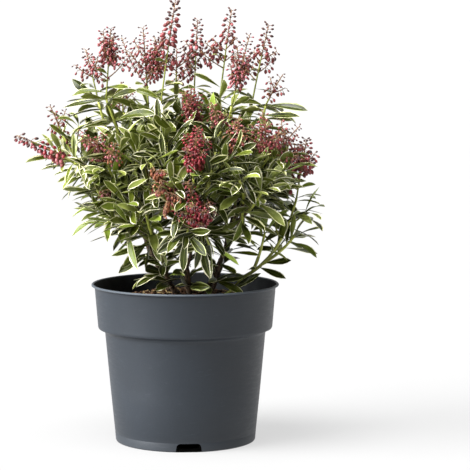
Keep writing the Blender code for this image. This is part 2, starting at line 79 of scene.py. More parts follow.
# Each mass: the stem that bears it, the share of that stem's length where its bough
# leaves, and its shoots. A shoot is the place of its last leaves and, where it
# flowers, the way from there to the flower spray's tip, and the bare share of that way.
MASSES = {
    "left_top": Mass("left_back", 1.0, (
        Shoot(-78, -14, 346, Flower(5, 0, 70, 0.48)),
        Shoot(-88, 20, 342, Flower(-13, 5, 53, 0.45)),
    )),
    "left_far": Mass("left_back", 0.80, (
        Shoot(-109, -40, 284, Flower(-56, 5, 27, 0.15)),
        Shoot(-121, -20, 310, Flower(-12, -5, 30, 0.25)),
    )),
    "left_mid": Mass("left_back", 0.55, (
        Shoot(-77, -35, 294, Flower(-25, -15, 23, 0.10)),
        Shoot(-74, -52, 280, Flower(8, -12, 25, 0.15)),
        Shoot(-45, -50, 298),
    )),
    "left_front": Mass("left", 1.0, (
        Shoot(-56, -65, 245),
        Shoot(-36, -76, 236),
        Shoot(-86, -45, 258, Flower(14, -15, -6, 0.20)),
        Shoot(-49, -48, 226),
        Shoot(-34, -38, 207),
    )),
    "top_left": Mass("centre_back", 0.85, (
        Shoot(-37, 12, 336, Flower(-5, -4, 81, 0.38)),
        Shoot(-64, 44, 330, Flower(-3, 5, 30, 0.30)),
    )),
    "top_mid": Mass("centre_back", 1.0, (
        Shoot(-10, 34, 344, Flower(1, 4, 52, 0.45)),
        Shoot(-25, -6, 333, Flower(16, -4, 110, 0.60)),
        Shoot(8, 40, 337, Flower(4, 8, 88, 0.58)),
    )),
    "centre_top": Mass("centre_back", 0.70, (
        Shoot(10, -36, 322, Flower(-3, -14, 35, 0.08)),
        Shoot(-25, -35, 316),
        Shoot(38, -45, 317, Flower(-11, -10, 26, 0.25)),
    )),
    "centre_mid": Mass("centre", 1.0, (
        Shoot(-17, -52, 305),
        Shoot(-32, -70, 286, Flower(27, -35, -45, 0.05)),
        Shoot(-9, -86, 263),
    )),
    "centre_front": Mass("centre", 0.60, (
        Shoot(10, -86, 272, Flower(5, -14, 49, 0.30)),
        Shoot(19, -92, 222, Flower(-14, -14, 48, 0.22)),
        Shoot(32, -76, 297),
        Shoot(4, -90, 219),
        Shoot(25, -70, 206),
    )),
    "right_top": Mass("right", 0.92, (
        Shoot(47, -16, 339, Flower(18, -4, 71, 0.22)),
        Shoot(35, 24, 346, Flower(12, 4, 89, 0.62)),
    )),
    "right_crest": Mass("right_back", 1.0, (
        Shoot(67, 44, 336, Flower(18, 6, 84, 0.60)),
        Shoot(81, 2, 339, Flower(17, -4, 31, 0.15)),
    )),
    "right_mid": Mass("right", 1.0, (
        Shoot(83, -50, 290, Flower(-6, -10, 46, 0.15)),
        Shoot(90, -42, 292, Flower(24, -5, 29, 0.10)),
        Shoot(51, -65, 290, Flower(3, -10, 40, 0.10)),
    )),
    "right_front": Mass("right", 0.78, (
        Shoot(55, -88, 270),
        Shoot(77, -70, 259),
        Shoot(92, -36, 272),
        Shoot(57, -60, 224),
    )),
    "far_right": Mass("low_right", 1.0, (
        Shoot(112, -14, 247, Flower(10, 0, 59, 0.45)),
        Shoot(80, -24, 213),
        Shoot(110, -12, 209),
    )),
}

# The hidden side repeats masses of the near side, turned about and a little lower.
BACK_MASSES = {
    "back_left": ("left_front", "left_back", 0.40),
    "back_mid": ("centre_front", "centre_back", 0.55),
    "back_right": ("right_front", "right_back", 0.60),
    "back_top": ("centre_top", "centre_back", 0.80),
    "back_left_high": ("left_mid", "left_back", 0.70),
    "back_right_high": ("right_mid", "right_back", 0.80),
}
BACK_DROP = 14
BACK_SHOOTS = 3
for name, (pattern, stem, share) in BACK_MASSES.items():
    shoots = []
    for shoot in MASSES[pattern].shoots[:BACK_SHOOTS]:
        flower = shoot.flower and shoot.flower._replace(dy=-shoot.flower.dy)
        shoots.append(Shoot(shoot.x, -shoot.y, shoot.z - BACK_DROP, flower))
    MASSES[name] = Mass(stem, share, tuple(shoots))
print("masses:", len(MASSES), "shoots:", sum(len(m.shoots) for m in MASSES.values()))

# %% [markdown]
# ## Paths
#
# A limb of this shrub leaves sideways and then turns up towards the light. A curve
# with one control point draws that with no more than its two ends and one rule, so
# every limb is such a curve.

# %% Curves and places along them
SOIL_TOP = 147 * MM
FOOT_ABOVE, FOOT_BELOW = 3 * MM, 5 * MM  # a stem's curve starts above the compost, its foot below
FOOT_RADIUS = 3.4 * MM
STEM_TIP_RADIUS = 2.3 * MM
BOUGH_RADIUS = 1.9 * MM
BOUGH_TIP_RADIUS = 1.6 * MM
BOUGH_SHARE = 0.5  # of the way from its fork to the middle of its shoots
FORK_FIRST = 0.12  # the share of a mass's first shoot where the next one forks off it,
FORK_STEP = 0.13  # and how much further along each one after that does
LEANS_OUT, LEANS_UP = 0.62, 0.40  # a limb first heads for these shares of its way out and up
STEM_POINTS, BOUGH_POINTS = 40, 24
FIRST_POINTS, SHOOT_POINTS, SPRAY_POINTS = 14, 12, 11
TURN = math.radians(137.5)  # from one leaf or bud to the next
UP = Vector((0, 0, 1))


def at(x, y, z):
    """A place given in millimetres."""
    return Vector((x, y, z)) * MM


def even(count):
    """This many shares in equal steps, from 0 to 1."""
    return [index / (count - 1) for index in range(count)]


def bend(start, control, end, count):
    """Points along the curve that leaves start for control and arrives at end from it."""
    return [start * (1 - t) ** 2 + control * 2 * t * (1 - t) + end * t * t for t in even(count)]


def rising(start, end, count):
    """A limb's path: outwards first, then more and more upright."""
    way = end - start
    return bend(start, start + Vector((way.x * LEANS_OUT, way.y * LEANS_OUT, way.z * LEANS_UP)), end, count)


def path_length(path):
    """The length of a path, from point to point."""
    return sum((b - a).length for a, b in zip(path, path[1:]))


def along(path, share):
    """The point at a share of the path's length, and the way it runs there."""
    left = share * path_length(path)
    for a, b in zip(path, path[1:]):
        length = (b - a).length
        if left <= length or b is path[-1]:
            return a.lerp(b, left / length), (b - a).normalized()
        left -= length


def spoke(axis, turn):
    """The way that stands square to an axis, at this turn round it."""
    return Quaternion(axis, turn) @ axis.orthogonal().normalized()


sample = rising(at(0, 0, 0), at(60, 0, 80), STEM_POINTS)
print("a limb that ends 60 mm out and 80 mm up, mm long:", round(path_length(sample) / MM, 1))

# %% The skeleton of the plant
Plan = namedtuple("Plan", "leafy flowers")  # leafy paths; (main stalk, bare share, shoot's number)
OUTWARD = {"far_right": Vector((0.9, 0, 0.42))}  # a shoot that first leans far out


def mass_plan(start, way, shoots):
    """The leafy paths and flower stalks of one mass, from the end of its bough."""
    first = at(*shoots[0][:3])
    reach = (first - start).length
    stem = bend(start, start + way * 0.45 * reach, first, FIRST_POINTS)
    leafy = [stem]
    for index, shoot in enumerate(shoots[1:]):
        fork, _ = along(stem, FORK_FIRST + FORK_STEP * index)
        leafy.append(rising(fork, at(*shoot[:3]), SHOOT_POINTS))
    flowers = []
    for number, (path, shoot) in enumerate(zip(leafy, shoots)):
        if shoot.flower:
            way = at(*shoot.flower[:3])
            middle = path[-1] + way * 0.5 + UP * 0.06 * way.length
            stalk = bend(path[-1], middle, path[-1] + way, SPRAY_POINTS)
            flowers.append((stalk, shoot.flower.bare, number))
    return Plan(leafy, flowers)


limbs = []
stem_paths = {}
for name, stem in STEMS.items():
    foot = Vector((stem.foot_x * MM, stem.foot_y * MM, SOIL_TOP + FOOT_ABOVE))
    path = [foot - UP * (FOOT_ABOVE + FOOT_BELOW)]
    path += rising(foot, at(stem.tip_x, stem.tip_y, stem.tip_z), STEM_POINTS)
    stem_paths[name] = path
    limbs.append((f"stem_{name}", path, FOOT_RADIUS, STEM_TIP_RADIUS))

plans = {}
for name, mass in MASSES.items():
    path = stem_paths[mass.stem]
    if mass.share < 1:
        fork, _ = along(path, mass.share)
        middle = sum((at(*s[:3]) for s in mass.shoots), Vector()) / len(mass.shoots)
        path = rising(fork, fork.lerp(middle, BOUGH_SHARE), BOUGH_POINTS)
        limbs.append((f"bough_{name}", path, BOUGH_RADIUS, BOUGH_TIP_RADIUS))
    way = (path[-1] - path[-2]).normalized()
    plans[name] = mass_plan(path[-1] - way * MM, OUTWARD.get(name, way), mass.shoots)
print("limbs:", len(limbs), "flower sprays:", sum(len(plan.flowers) for plan in plans.values()))

# %% [markdown]
# ## Finishes
#
# Every finish starts from what the real surface is. Colours are given as they look on
# a screen, and one function turns them into the linear values that Blender mixes. One
# more function adds a node, with its settings and its links, so each finish below
# reads as a list of its nodes.


# %% Colours and nodes
def colour(code):
    """A screen colour such as 8A7B5C, as linear red, green, blue and alpha."""
    parts = [int(code[i:i + 2], 16) / 255 for i in (0, 2, 4)]
    return (*(p / 12.92 if p <= 0.04045 else ((p + 0.055) / 1.055) ** 2.4 for p in parts), 1)


def add_node(tree, kind, settings, inputs):
    """Adds a shader node. An input is a value, or the output of another node."""
    made = tree.nodes.new("ShaderNode" + kind)
    for key, value in settings.items():
        setattr(made, key, value)
    for key, value in inputs.items():
        if isinstance(value, bpy.types.NodeSocket):
            tree.links.new(value, made.inputs[key])
        else:
            made.inputs[key].default_value = value
    return made


def per_metre(size):
    """The scale of a pattern whose grains are this large in millimetres."""
    return 1 / (size * MM)


def dress(tree, shader, tint, bump):
    """Gives a shader its colour and its relief."""
    tree.links.new(tint, shader.inputs["Base Color"])
    tree.links.new(bump.outputs["Normal"], shader.inputs["Normal"])


def new_finish(name, roughness):
    """A material, its node tree, its Principled shader and the place on the piece."""
    made = bpy.data.materials.new(name)
    made.use_nodes = True
    shader = made.node_tree.nodes["Principled BSDF"]
    shader.inputs["Roughness"].default_value = roughness
    place = add_node(made.node_tree, "TexCoord", {}, {}).outputs["Object"]
    return made, made.node_tree, shader, place


SKIN_GRAIN = 1.6  # in mm, the relief of leaves, buds and stalks, coarse enough to show


def mottled(name, first, second, grain, roughness, relief, ior=1.35):
    """Two shades that drift into each other, grain mm apart, with a relief in mm.

    Wax and bark have an IOR near 1.45. Most of these surfaces have hairs, dust or pores
    too fine to draw, which take some of their shine, so they start from a lower one.
    """
    made, tree, shader, place = new_finish(name, roughness)
    shader.inputs["IOR"].default_value = ior
    drift = add_node(tree, "TexNoise", {}, {"Vector": place, "Scale": per_metre(grain), "Detail": 3})
    share = add_node(tree, "MapRange", {}, {"Value": drift.outputs["Fac"], 1: 0.36, 2: 0.64})
    mix = add_node(tree, "Mix", {"data_type": "RGBA"},
                   {0: share.outputs[0], 6: colour(first), 7: colour(second)})
    fine = add_node(tree, "TexNoise", {}, {"Vector": place, "Scale": per_metre(SKIN_GRAIN), "Detail": 2})
    bump = add_node(tree, "Bump", {}, {"Height": fine.outputs["Fac"], "Strength": 0.6,
                                       "Distance": relief * MM})
    dress(tree, shader, mix.outputs[2], bump)
    return made


print("middle grey, 808080, in linear light:", round(colour("808080")[0], 3))

# %% [markdown]
# The blade of a leaf is waxy, so it shines softly. Its green is uneven, from dark olive
# in old leaves to lime in young ones, and its edge lacks the green and is cream. The
# flower buds are satin, coral where they are full and dusky purple where they are
# young, at the ends of the sprays. The bark of young wood and of flower stalks is
# smooth and nearly matt.

# %% Finishes of the plant
GREENS = {
    "deep": mottled("leaf_green_deep", "1E2400", "343C04", 9, 0.34, 0.12),
    "mid": mottled("leaf_green_mid", "3A4408", "586116", 9, 0.36, 0.12),
    "pale": mottled("leaf_green_pale", "5C6526", "7C843E", 9, 0.40, 0.12),
    "fresh": mottled("leaf_green_fresh", "546216", "72822C", 9, 0.36, 0.12),
    "lime": mottled("leaf_green_lime", "7E9434", "9CB24A", 9, 0.38, 0.12),
}
CREAMS = {
    "cream": mottled("leaf_edge_cream", "DEDAB4", "F0ECD2", 6, 0.42, 0.10),
    "yellow": mottled("leaf_edge_yellow", "CCCB96", "DEDDAC", 6, 0.42, 0.10),
    "greenish": mottled("leaf_edge_greenish", "939C5E", "ACB278", 6, 0.42, 0.10),
}
MIDRIB = mottled("leaf_midrib", "687230", "808A46", 5, 0.42, 0.10)
BUDS = {
    "coral": mottled("bud_coral", "7C2E34", "A05052", 4, 0.34, 0.10, 1.45),
    "pink": mottled("bud_pink", "904852", "B06C72", 4, 0.36, 0.10, 1.45),
    "red": mottled("bud_red", "70121C", "98303A", 4, 0.30, 0.10, 1.45),
    "dull": mottled("bud_dull_red", "5A2226", "7C3E3C", 4, 0.38, 0.10, 1.45),
    "brown": mottled("bud_brown_orange", "80462C", "A0684A", 4, 0.48, 0.10),
    "dusky": mottled("bud_dusky_purple", "422E2E", "5E4644", 4, 0.48, 0.10),
}
STALKS = {
    "lime": mottled("young_wood_lime", "A6AE4A", "C4C86C", 7, 0.50, 0.20),
    "olive": mottled("young_wood_olive", "747C38", "8E9048", 7, 0.55, 0.20),
    "green": mottled("spray_stalk_green", "7E863A", "9CA24E", 7, 0.52, 0.20),
    "brown": mottled("young_wood_brown", "4A3828", "6A5438", 7, 0.65, 0.25),
    "rachis": mottled("spray_stalk_reddish", "6C4838", "8C6C48", 5, 0.55, 0.15),
    "calyx": mottled("bud_calyx", "5C3430", "7C4C3C", 3, 0.55, 0.10),
}
print("plant finishes:", len(GREENS) + len(CREAMS) + len(BUDS) + len(STALKS))

# %% [markdown]
# The pot is injection-moulded polypropylene, coloured slate grey all through. Its
# mould was lightly blasted, which leaves an orange-peel skin and a satin gloss.
# Handling adds pale scuffs, and watering leaves a dusty film near the foot. The
# compost is peat and composted bark, nearly black where it is damp, with pale dry straw
# and dull brown chips on it. The old bark is grey-brown and split lengthways.


# %% Finish of the pot
DUST_TOP = 14 * MM
LIP_HIGHLIGHT_FROM, LIP_HIGHLIGHT_FULL = 157.6 * MM, 158.6 * MM  # the lip's painted highlight sets in between these heights


def slate_plastic():
    """Slate-grey plastic in two tones, scuffed, dusty at its foot, with a painted highlight at its lip."""
    made, tree, shader, place = new_finish("slate_polypropylene", 0.46)
    cloud = add_node(tree, "TexNoise", {}, {"Vector": place, "Scale": per_metre(55), "Detail": 3})
    tone = add_node(tree, "Mix", {"data_type": "RGBA"},
                    {0: cloud.outputs["Fac"], 6: colour("181E25"), 7: colour("212932")})
    # Scuffs run round the pot, so the pattern is stretched along X and Y.
    stretch = add_node(tree, "Mapping", {}, {"Vector": place, "Scale": (1, 1, 7)})
    scuffs = add_node(tree, "TexNoise", {}, {"Vector": stretch.outputs[0], "Scale": per_metre(14),
                                             "Detail": 6, "Roughness": 0.7})
    worn = add_node(tree, "MapRange", {}, {"Value": scuffs.outputs["Fac"], 1: 0.60, 2: 0.74, 4: 0.22})
    scuffed = add_node(tree, "Mix", {"data_type": "RGBA"},
                       {0: worn.outputs[0], 6: tone.outputs[2], 7: colour("525B65")})
    height = add_node(tree, "SeparateXYZ", {}, {"Vector": place}).outputs["Z"]
    film = add_node(tree, "MapRange", {}, {"Value": height, 1: DUST_TOP, 2: 0, 3: 0, 4: 0.20})
    dusty = add_node(tree, "Mix", {"data_type": "RGBA"},
                     {0: film.outputs[0], 6: scuffed.outputs[2], 7: colour("4C5054")})
    # The lip is painted paler than the wall: a painted highlight along its top.
    lip_highlight = add_node(tree, "MapRange", {}, {"Value": height, 1: LIP_HIGHLIGHT_FROM, 2: LIP_HIGHLIGHT_FULL, 4: 0.30})
    highlighted = add_node(tree, "Mix", {"data_type": "RGBA"},
                      {0: lip_highlight.outputs[0], 6: dusty.outputs[2], 7: colour("6E7780")})
    peel = add_node(tree, "TexNoise", {}, {"Vector": place, "Scale": per_metre(1.8), "Detail": 2})
    bump = add_node(tree, "Bump", {}, {"Height": peel.outputs["Fac"], "Strength": 0.5,
                                       "Distance": 0.12 * MM})
    gloss = add_node(tree, "MapRange", {}, {"Value": scuffs.outputs["Fac"], 1: 0.3, 2: 0.7,
                                            3: 0.42, 4: 0.56})
    tree.links.new(gloss.outputs[0], shader.inputs["Roughness"])
    dress(tree, shader, highlighted.outputs[2], bump)
    return made


POT_FINISH = slate_plastic()
print("nodes in the finish of the pot:", len(POT_FINISH.node_tree.nodes))


# %% Finish of the compost and of the old bark
def damp_compost():
    """Dark crumbs with paler dry fibres among them."""
    made, tree, shader, place = new_finish("peat_compost", 0.92)
    crumbs = add_node(tree, "TexVoronoi", {}, {"Vector": place, "Scale": per_metre(3)})
    crumb_tone = add_node(tree, "Mix", {"data_type": "RGBA"},
                          {0: crumbs.outputs["Distance"], 6: colour("160E09"), 7: colour("2C1D12")})
    fibres = add_node(tree, "TexNoise", {}, {"Vector": place, "Scale": per_metre(2.2), "Detail": 5})
    pale = add_node(tree, "MapRange", {}, {"Value": fibres.outputs["Fac"], 1: 0.58, 2: 0.70, 4: 0.7})
    mix = add_node(tree, "Mix", {"data_type": "RGBA"},
                   {0: pale.outputs[0], 6: crumb_tone.outputs[2], 7: colour("54402A")})
    bump = add_node(tree, "Bump", {}, {"Height": fibres.outputs["Fac"], "Distance": 1.2 * MM})
    dress(tree, shader, mix.outputs[2], bump)
    return made


def old_bark():
    """Dark splits between pale grey-brown ridges."""
    made, tree, shader, place = new_finish("grey_brown_bark", 0.85)
    # The splits run up the stems, so the pattern is drawn out along Z.
    drawn = add_node(tree, "Mapping", {}, {"Vector": place, "Scale": (1, 1, 0.25)})
    splits = add_node(tree, "TexNoise", {}, {"Vector": drawn.outputs[0], "Scale": per_metre(1.8),
                                             "Detail": 4})
    share = add_node(tree, "MapRange", {}, {"Value": splits.outputs["Fac"], 1: 0.38, 2: 0.62})
    mix = add_node(tree, "Mix", {"data_type": "RGBA"},
                   {0: share.outputs[0], 6: colour("241812"), 7: colour("624F3A")})
    bump = add_node(tree, "Bump", {}, {"Height": splits.outputs["Fac"], "Distance": 0.8 * MM})
    dress(tree, shader, mix.outputs[2], bump)
    return made


# Inside, the wall is painted dull and nearly black: painted shade under the collar and the crown.
INSIDE_SHADE = mottled("painted_shade_inner_wall", "101214", "1B1E20", 12, 0.85, 0.2, 1.3)
# The notches are painted nearly black, with no shine: painted shade in their hollows.
NOTCH_SHADE = mottled("painted_notch_shade", "040404", "080807", 12, 0.95, 0.2, 1.02)
SOIL_FINISH = damp_compost()
BARK_FINISH = old_bark()
STRAW = mottled("litter_straw", "A58A54", "CDB47C", 3, 0.8, 0.2)
CHIP = mottled("litter_bark_chip", "3A271A", "5E422C", 3, 0.9, 0.3)
print("finishes:", len(bpy.data.materials))

# %% [markdown]
# ## The pot
#
# A mould has a draught, so the pot widens upwards, and a collar stands out at the top
# for stacking and for stiffness, with a rolled lip. It could be spun from a profile.
# Here a disc, the underside, is extruded ring by ring instead: up the outside, over
# the lip and down the inside, because each ring is then a size that can be measured
# on the real pot. Three drain notches are cut where wall and floor meet.


# %% Grow the pot ring by ring
def deselect():
    """Nothing stays selected, so that the next operator acts on the new piece alone."""
    bpy.ops.object.select_all(action="DESELECT")


def select_only(piece):
    """Selects one piece, for operators that act on the active one."""
    deselect()
    piece.select_set(True)
    bpy.context.view_layer.objects.active = piece


def ring_to(ring, radius, height):
    """Extrudes the selected cap and brings it to a radius and a height, in mm."""
    bpy.ops.mesh.extrude_region_move()
    grow = radius / ring[0]
    bpy.ops.transform.resize(value=(grow, grow, 1))
    bpy.ops.transform.translate(value=(0, 0, (height - ring[1]) * MM))
    ring[:] = [radius, height]


POT_SIDES = 144
UNDERSIDE = 69.5  # its radius in mm
OUTSIDE = [  # radius and height in mm, up the outside from the edge of the underside
    (70.4, 0.3), (71.0, 1.2), (71.6, 8.4), (71.5, 8.8), (71.5, 9.4), (71.7, 9.8), (76.0, 53),
    (81.2, 109.6), (81.6, 111.2), (83.0, 112.9), (85.8, 114.2), (87.5, 114.9), (88.2, 115.9),
    (88.4, 117.5), (91.5, 155.4), (91.9, 156.8), (93.0, 157.5), (94.2, 157.8),
]
LIP = [(94.8, 158.3), (94.8, 159.2), (94.2, 159.8), (93.3, 160.0), (92.6, 159.7), (92.3, 159.0)]
INSIDE = [
    (90.3, 155.8), (86.5, 117.2), (86.0, 116.0), (79.9, 112.0), (79.4, 110.5), (69.6, 4.2), (68.4, 3.0),
]

deselect()
bpy.ops.mesh.primitive_circle_add(vertices=POT_SIDES, radius=UNDERSIDE * MM, fill_type="NGON")
pot = bpy.context.object
pot.name = "nursery_pot"
bpy.ops.object.mode_set(mode="EDIT")
ring = [UNDERSIDE, 0.0]
for radius, height in OUTSIDE + LIP + INSIDE:
    ring_to(ring, radius, height)
bpy.ops.mesh.select_all(action="SELECT")
bpy.ops.mesh.normals_make_consistent(inside=False)
bpy.ops.object.mode_set(mode="OBJECT")
print("pot faces:", len(pot.data.polygons))

# %% Cut the drain notches
NOTCHES = 3
NOTCH_TURN = math.radians(4)  # the front one is a little right of the middle
NOTCH_MIDDLE = 74 * MM  # from the pot's axis
NOTCH_THROUGH, NOTCH_WIDTH = 10 * MM, 28.5 * MM
NOTCH_HEIGHT = 17.6 * MM  # half of it is below the pot
NOTCH_TAPER = 0.82
NOTCH_ROUND = 3.4 * MM
for index in range(NOTCHES):
    bearing = -math.pi / 2 + NOTCH_TURN + index * math.tau / NOTCHES
    deselect()
    spot = (NOTCH_MIDDLE * math.cos(bearing), NOTCH_MIDDLE * math.sin(bearing), 0)
    bpy.ops.mesh.primitive_cube_add(size=1, location=spot, rotation=(0, 0, bearing))
    cutter = bpy.context.object
    cutter.scale = (NOTCH_THROUGH, NOTCH_WIDTH, NOTCH_HEIGHT)
    bpy.ops.object.transform_apply(location=False, rotation=False, scale=True)
    # The sides of the opening lean in, and its two upper corners are rounded.
    bpy.ops.object.mode_set(mode="EDIT")
    shape = bmesh.from_edit_mesh(cutter.data)
    for corner in shape.verts:
        corner.co.y *= NOTCH_TAPER if corner.co.z > 0 else 1
    for edge in shape.edges:
        runs_through = abs(edge.verts[0].co.x - edge.verts[1].co.x) > NOTCH_THROUGH / 2
        edge.select = runs_through and edge.verts[0].co.z > 0
    bmesh.update_edit_mesh(cutter.data)
    bpy.ops.mesh.bevel(offset=NOTCH_ROUND, segments=5)
    bpy.ops.object.mode_set(mode="OBJECT")
    select_only(pot)
    cut = pot.modifiers.new("drain_notch", "BOOLEAN")
    cut.operation = "DIFFERENCE"
    cut.solver = "EXACT"
    cut.object = cutter
    bpy.ops.object.modifier_apply(modifier=cut.name)
    bpy.data.objects.remove(cutter, do_unlink=True)
print("pot with notches:", len(pot.data.polygons), "faces")

# %% Which face has which finish
NOTCH_SHADE_RADIUS, NOTCH_SHADE_TOP = 70 * MM, 9 * MM  # where the notches get the painted shade
# Inside faces below this height take the painted shade.
INSIDE_SHADE_TOP = 159 * MM
pot.data.materials.clear()
for look in (POT_FINISH, INSIDE_SHADE, NOTCH_SHADE):
    pot.data.materials.append(look)
for face in pot.data.polygons:
    x, y, z = face.center
    in_notch_shade = math.hypot(x, y) < NOTCH_SHADE_RADIUS and 0.1 * MM < z < NOTCH_SHADE_TOP
    faces_in = face.normal.x * x + face.normal.y * y < 0
    face.material_index = 2 if in_notch_shade else int(faces_in and z < INSIDE_SHADE_TOP)
bpy.ops.object.shade_smooth_by_angle(angle=math.radians(28))
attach(pot, "root")
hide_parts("pot")
print("faces with painted shade:", sum(face.material_index > 0 for face in pot.data.polygons))

# %% [markdown]
# ## The compost
#
# Potting compost settles 10 to 25 mm under the rim and stays uneven: crumbs, bark
# and straw, heaped a little round the stems. A cap is inset again and again, which
# gives rings of small faces, and two noise displacements then heap and crumble it.
# Loose bits lie on top as small curled slivers.

# %% The bed
SURFACE_RINGS = 46
BED_FOOT = (42.0, 3.4)  # radius and height in mm, the compost stays back from the notches
BED_SIDE = [
    (46.0, 16.0), (69.8, 24.0), (79.0, 110.2), (79.6, 112.4), (85.7, 116.2), (87.4, 136.0),
]
BED_RADIUS, SOIL_EDGE = BED_SIDE[-1]
SOIL_HEAP = 13  # how much higher than its edge the middle is, in mm
WALL_RADIUS = 88.4  # the inside of the pot at the compost's edge
RELIEF_FADE = 6  # the relief dies out over this distance from the edge


def soil_height(radius):
    """The compost's level in mm at a radius in mm: it has sunk at the wall."""
    return SOIL_EDGE + SOIL_HEAP * (1 - (radius / WALL_RADIUS) ** 2)


deselect()
bpy.ops.mesh.primitive_circle_add(vertices=POT_SIDES, radius=BED_FOOT[0] * MM, fill_type="NGON",
                                  location=(0, 0, BED_FOOT[1] * MM))
compost = bpy.context.object
compost.name = "compost_bed"
bpy.ops.object.transform_apply(location=True, rotation=True, scale=True)
bpy.ops.object.mode_set(mode="EDIT")
ring = list(BED_FOOT)
for radius, height in BED_SIDE:
    ring_to(ring, radius, height)
for _ in range(SURFACE_RINGS):
    bpy.ops.mesh.inset(thickness=BED_RADIUS * MM / (SURFACE_RINGS + 1), use_even_offset=False)
bpy.ops.mesh.select_all(action="SELECT")
bpy.ops.mesh.normals_make_consistent(inside=False)
bpy.ops.object.mode_set(mode="OBJECT")
print("compost rings:", len(BED_SIDE) + SURFACE_RINGS)

# %% Heaps and crumbs
top = compost.vertex_groups.new(name="top")
for vertex in compost.data.vertices:
    radius = math.hypot(vertex.co.x, vertex.co.y) / MM
    if vertex.co.z > (SOIL_EDGE - 0.1) * MM:
        vertex.co.z = soil_height(radius) * MM
        top.add([vertex.index], min(1.0, (BED_RADIUS + 0.2 - radius) / RELIEF_FADE), "REPLACE")
for title, grain, strength in (("heaps", 14, 5.0), ("crumbs", 3.2, 2.6)):
    texture = bpy.data.textures.new(title, "CLOUDS")
    texture.noise_scale = grain * MM
    relief = compost.modifiers.new(title, "DISPLACE")
    relief.texture = texture
    relief.texture_coords = "LOCAL"
    relief.direction = "Z"
    relief.strength = strength * MM
    relief.vertex_group = top.name
    bpy.ops.object.modifier_apply(modifier=relief.name)
compost.data.materials.append(SOIL_FINISH)
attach(compost, "root")
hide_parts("compost")
print("compost faces:", len(compost.data.polygons))

# %% [markdown]
# ## Meshes by the thousand
#
# Leaves, buds and bits of litter are far too many to model one at a time. Each kind
# is a small net of points that a function bends into place, and a basket collects
# the nets and makes one mesh of them, with a material for each face.


# %% A basket for small meshes
class Basket:
    """Collects small nets of faces, and then makes one piece of them."""

    def __init__(self, name, looks):
        self.name = name
        self.looks = looks
        self.points = []
        self.faces = []
        self.kinds = []
        self.count = 0

    def add(self, points, faces, kinds):
        """Adds a net, with the number of the look of each of its faces."""
        start = len(self.points)
        self.points.extend(points)
        self.faces.extend(tuple(start + i for i in face) for face in faces)
        self.kinds.extend(kinds)
        self.count += 1

    def make(self, slot, *nodes):
        """Makes the piece, which stands for these nodes of the frame."""
        mesh = bpy.data.meshes.new(self.name)
        mesh.from_pydata(self.points, [], self.faces)
        for look in self.looks:
            mesh.materials.append(look)
        mesh.polygons.foreach_set("material_index", self.kinds)
        mesh.polygons.foreach_set("use_smooth", [True] * len(self.faces))
        mesh.update()
        piece = bpy.data.objects.new(self.name, mesh)
        bpy.context.scene.collection.objects.link(piece)
        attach(piece, "root")
        if nodes:
            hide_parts(*nodes)
        triangles = sum(len(face) - 2 for face in self.faces)
        print(self.name, self.count, "bits,", triangles, "triangles")


# %% Tubes
def ring_points(centre, across, other, radius, sides):
    """Points evenly round a centre, in the plane of two ways."""
    turns = [side * math.tau / sides for side in range(sides)]
    return [centre + (across * math.cos(turn) + other * math.sin(turn)) * radius for turn in turns]


def skin(rings, sides, kinds):
    """The faces from each ring to the next and both end caps, and the look of each face."""
    faces = []
    for index in range(rings - 1):
        for side in range(sides):
            a = index * sides + side
            b = index * sides + (side + 1) % sides
            faces.append((a, b, b + sides, a + sides))
    last = (rings - 1) * sides
    faces += [tuple(range(sides))[::-1], tuple(range(last, last + sides))]
    return faces, [kind for kind in kinds for _ in range(sides)] + [kinds[0], kinds[-1]]


def tube(basket, path, radii, sides, kind):
    """A closed tube along a path. kind is one look, or one for each stretch of path."""
    points = []
    across = (path[1] - path[0]).orthogonal().normalized()
    for index, point in enumerate(path):
        way = (path[min(index + 1, len(path) - 1)] - path[max(index - 1, 0)]).normalized()
        across = (across - way * across.dot(way)).normalized()
        points += ring_points(point, across, way.cross(across), radii[index], sides)
    kinds = kind if isinstance(kind, list) else [kind] * (len(path) - 1)
    basket.add(points, *skin(len(path), sides, kinds))


def tapered(first, last, count):
    """The radii of a tube with this many rings, from one in mm to another."""
    return [(first + (last - first) * share) * MM for share in even(count)]


print("faces of a tube with 4 rings and 5 sides:", len(skin(4, 5, [0] * 3)[0]))

# %% Litter on the compost
LITTER_BITS = 760
LITTER_RADIUS, LITTER_LIMIT = 82 * MM, 86 * MM  # for the middle of a bit, and for its ends
STRAW_SHARE = 0.25
dice = random.Random("litter")
litter = Basket("compost_litter", [STRAW, CHIP])
for _ in range(LITTER_BITS):
    bearing = dice.uniform(0, math.tau)
    radius = LITTER_RADIUS * math.sqrt(dice.random())
    heading = dice.uniform(0, math.tau)
    straw = dice.random() < STRAW_SHARE
    length = dice.uniform(5, 14) * MM if straw else dice.uniform(2.5, 6) * MM
    thick = dice.uniform(0.3, 0.5) * MM if straw else dice.uniform(0.7, 1.5) * MM
    height = (soil_height(radius / MM) + dice.uniform(1.6, 3.4)) * MM
    middle = Vector((radius * math.cos(bearing), radius * math.sin(bearing), height))
    way = Vector((math.cos(heading), math.sin(heading), dice.uniform(-0.12, 0.2))).normalized()
    ends = (middle - way * length / 2, middle + way * length / 2)
    if max(math.hypot(end.x, end.y) for end in ends) < LITTER_LIMIT:
        belly = middle + UP * length * dice.uniform(0, 0.25)
        radii = [thick * 0.5, thick, thick, thick * 0.4]
        tube(litter, bend(ends[0], belly, ends[1], len(radii)), radii, 5, 0 if straw else 1)
litter.make("compost")

# %% [markdown]
# ## The woody stems
#
# Old pieris wood is about pencil-thin here, grey-brown, slightly knuckled where
# leaves once stood, and split lengthways. A curve with a round bevel carries the
# knuckles as changes of radius. It is then made a mesh, and a noise displacement
# gives the bark a true relief that also shows on the outline.

